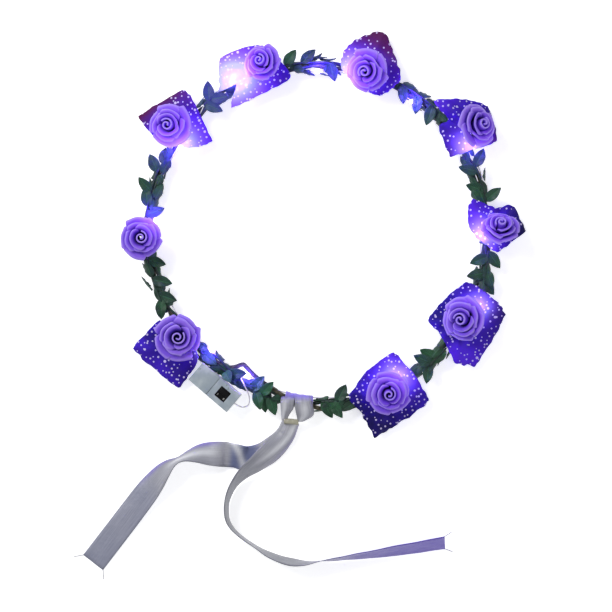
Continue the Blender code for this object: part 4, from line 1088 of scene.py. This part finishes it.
def tail(name, keys, node, tint, cup_over, thread_tint):
    """A ribbon along the keys. tint gives the colour marks, and cup_over is how far in it stays cupped."""
    line, turns = [], []
    for x, y, gap, roll in smooth_line(keys, 8):
        turn = radians(roll)
        below = (abs(sin(turn)) * RIBBON_WIDTH + abs(cos(turn)) * RIBBON_THICKNESS) / 2
        line.append(hitch_middle + Vector((x * MM, y * MM, gap * MM + below)))
        turns.append(turn)
    travelled = [0.0]
    for one, two in zip(line, line[1:]):
        travelled.append(travelled[-1] + (two - one).length)

    def place(share, over):
        index = round(share * (len(line) - 1))
        middle, turn, way = line[index], turns[index], ahead(line, index)
        level = UP.cross(way).normalized()
        out = level * cos(turn) + way.cross(level) * sin(turn)
        face = way.cross(out)
        side = 2 * over - 1
        cup = max(0.05, 1.45 * exp(-((travelled[index] / cup_over) ** 2)))
        bow = RIBBON_WIDTH / 2 / cup
        spot = middle + out * bow * sin(side * cup) + face * bow * (cos(side * cup) - 1) * 0.8
        spot += face * 0.35 * MM * jitter(travelled[index] * 90, side * 1.3, len(keys))
        spot.z = max(spot.z, SHEET_THICKNESS)
        # Painted shade where the ribbon rolls onto its edge.
        tints = {"dark": 0.6 * sin(turn) ** 4} | tint(travelled[index], side, travelled[-1])
        return spot, satin_marks(side * RIBBON_WIDTH / 2, travelled[index], **tints)

    shape = Shape()
    shape.grid(len(line), 11, place)
    made = shape.piece(name, satin, "satin", stands_for=[node], thickness=SHEET_THICKNESS)
    # A loose thread at each corner of the cut end.
    # The threads are a little darker, and on the long tail they take some painted violet light.
    frayed, frayed_marks = Shape(), satin_marks(0, 0, violet=thread_tint, dark=0.3)
    for over in (0.0, 1.0):
        corner, before = place(1.0, over)[0], place(0.97, over)[0]
        away = (corner - before).normalized() + (corner - place(1.0, 0.5)[0]).normalized() * 0.9
        thread = [corner + away * reach * MM for reach in THREAD_REACH]
        for spot in thread:
            spot.z = max(spot.z, THREAD_RADIUS)
        frayed.tube(thread, THREAD_RADIUS, 6, lambda along, turn: frayed_marks)
    frayed.piece(f"{name}_threads", satin, "satin")
    print(name, "is", round(travelled[-1] / MM, 1), "mm long")


def step(value, low, high):
    share = min(1.0, max(0.0, (value - low) / (high - low)))
    return share * share * (3 - 2 * share)


def long_tint(along, side, length):
    # Painted violet light near the start on one side and along the end, and a painted highlight along the
    # crease.
    start = (1 - step(along, 14 * MM, 34 * MM)) * step(side, 0.4, 1.0)
    crease = exp(-(((side - 0.45 + along * 18) / 0.22) ** 2)) * (1 - step(along, 20 * MM, 45 * MM))
    violet = max(0.25 * start, step(along, length - 92 * MM, length - 52 * MM))
    return {"violet": violet, "pale": 0.9 * crease}


def short_tint(along, side, length):
    # Painted shade where this tail lies under the long one, blue-grey towards its end, painted violet light
    # along one side, and painted highlights along the crease and down the middle.
    under = step(along, 20 * MM, 30 * MM) * (1 - step(along, 42 * MM, 46 * MM))
    top = step(along, 46 * MM, 60 * MM) * (1 - step(along, 88 * MM, 110 * MM)) * step(-side, 0.45, 1.0)
    crease = exp(-(((along - 38 * MM + side * 5 * MM) / (2.2 * MM)) ** 2))
    middle = exp(-(((side + 0.1) / 0.35) ** 2)) * step(along, 48 * MM, 58 * MM)
    middle *= 1 - step(along, 75 * MM, 90 * MM)
    return {"violet": 0.7 * top, "blue": max(under, 0.35 * step(along, 90 * MM, 110 * MM)),
            "pale": max(crease, 0.7 * middle)}


tail("satin_tail_long", LONG_TAIL, "ribbon_tail_long", long_tint, 24 * MM, 0.3)
tail("satin_tail_short", SHORT_TAIL, "ribbon_tail_short", short_tint, 18 * MM, 0.0)

# %% The hitch over the wires
HITCH_WIDTH, HITCH_LENGTH, LOOP_DEEP, LOOP_LOW, LOOP_HIGH = 17 * MM, 84 * MM, 3.9 * MM, 4.3 * MM, 6.3 * MM
BAND_TOP, BAND_BOTTOM = -10.2, -13.4
half_span = degrees(HITCH_WIDTH / 2 / ring_radius(HITCH_AT))
# Each leg from the top of the loop to the band: y, left edge, right edge and height in mm, from the wires.
HITCH_LEGS = (
    ((3.4, -10.2, -2.2, 3.4), (0.2, -10.7, -2.7, 6.6), (-4.0, -10.6, -3.2, 5.2), (-7.5, -10.5, -5.4, 3.2),
     (-11.0, -10.2, -7.2, 1.6)),
    ((3.4, -2.4, 6.9, 3.4), (0.2, -2.2, 7.4, 6.8), (-4.0, -2.0, 8.6, 6.0), (-7.0, -1.5, 9.0, 4.6),
     (-9.4, -1.0, 7.6, 3.0), (-12.2, -0.6, 2.6, 1.6)),
)


def loop_place(around, across_loop):
    """The ribbon round the wires: across the loop runs along the ring."""
    turn = 360 * around
    angle = HITCH_AT + (2 * across_loop - 1) * half_span
    crease = 0.35 * sin(across_loop * 22 + 2.5 * sin(radians(turn)))
    crease += 0.25 * jitter(turn / 50, across_loop * 5)
    spoke = direction(turn)
    deep = LOOP_DEEP + 0.5 * crease * MM
    high = (LOOP_HIGH if spoke.y > 0 else LOOP_LOW) + 0.3 * crease * MM
    spot = direction(angle) * (ring_radius(angle) + spoke.x * deep) + UP * (RING_HEIGHT + spoke.y * high)
    # Painted violet light on the loop's inner side.
    inner_side = max(0.0, cos(radians(turn - 150))) ** 2
    return spot, satin_marks(17 * across_loop * MM, 33 * around * MM, violet=0.9 * inner_side)


shape = Shape()
shape.grid(48, 19, loop_place)
for number, keys in enumerate(HITCH_LEGS):
    line = smooth_line(keys, 5)

    def leg_place(down, over):
        """A puffed tube of satin, flattened: over runs right round it."""
        y, left, right, high = nearest(line, down)
        spoke = direction(360 * over)
        puff = (1.9 if number else 1.5) * (0.75 + 0.25 * sin(pi * down))
        pleat = 0.28 * sin(spoke.x * 7 + 2.2 * down + number * 2) * (1 if spoke.y > 0 else 0)
        x = (left + right) / 2 + (right - left) / 2 * spoke.x
        spot = hitch_middle + Vector((x, y, 0)) * MM
        spot.z = RING_HEIGHT + (high + puff * spoke.y + pleat) * MM
        # Painted highlight in a band down each leg, painted shade at its sides, and painted violet light at
        # its top.
        pale = exp(-(((spoke.x + 0.35 - 0.5 * number + 0.3 * down) / 0.38) ** 2))
        tints = {"violet": 0.8 * (1 - step(down, 0.02, 0.22)), "pale": 0.9 * pale * step(down, 0.15, 0.4),
                 "dark": 0.35 * abs(spoke.x) ** 4}
        return spot, satin_marks(15 * over * MM, 12 * down * MM, **tints)

    shape.grid(len(line), 25, leg_place)


def band_place(around, over):
    """The fold that draws the two legs together."""
    x = -8.9 + 8.7 * over
    spoke = direction(360 * around)
    y = (BAND_TOP + BAND_BOTTOM) / 2 + 1.5 * copysign(abs(spoke.x) ** 0.6, spoke.x) - 0.8 * over
    z = 2.1 * copysign(abs(spoke.y) ** 0.7, spoke.y) + 0.2 * sin(over * 17 + around * 9)
    spot = hitch_middle + Vector((x * MM, y * MM, RING_HEIGHT + (z + 1.4) * MM))
    return spot, satin_marks(15 * around * MM, 12 * over * MM, olive=0.85)


shape.grid(25, 13, band_place)
hitch = shape.piece("satin_hitch", satin, "satin", "crown", ["ribbon_hitch"], SHEET_THICKNESS)
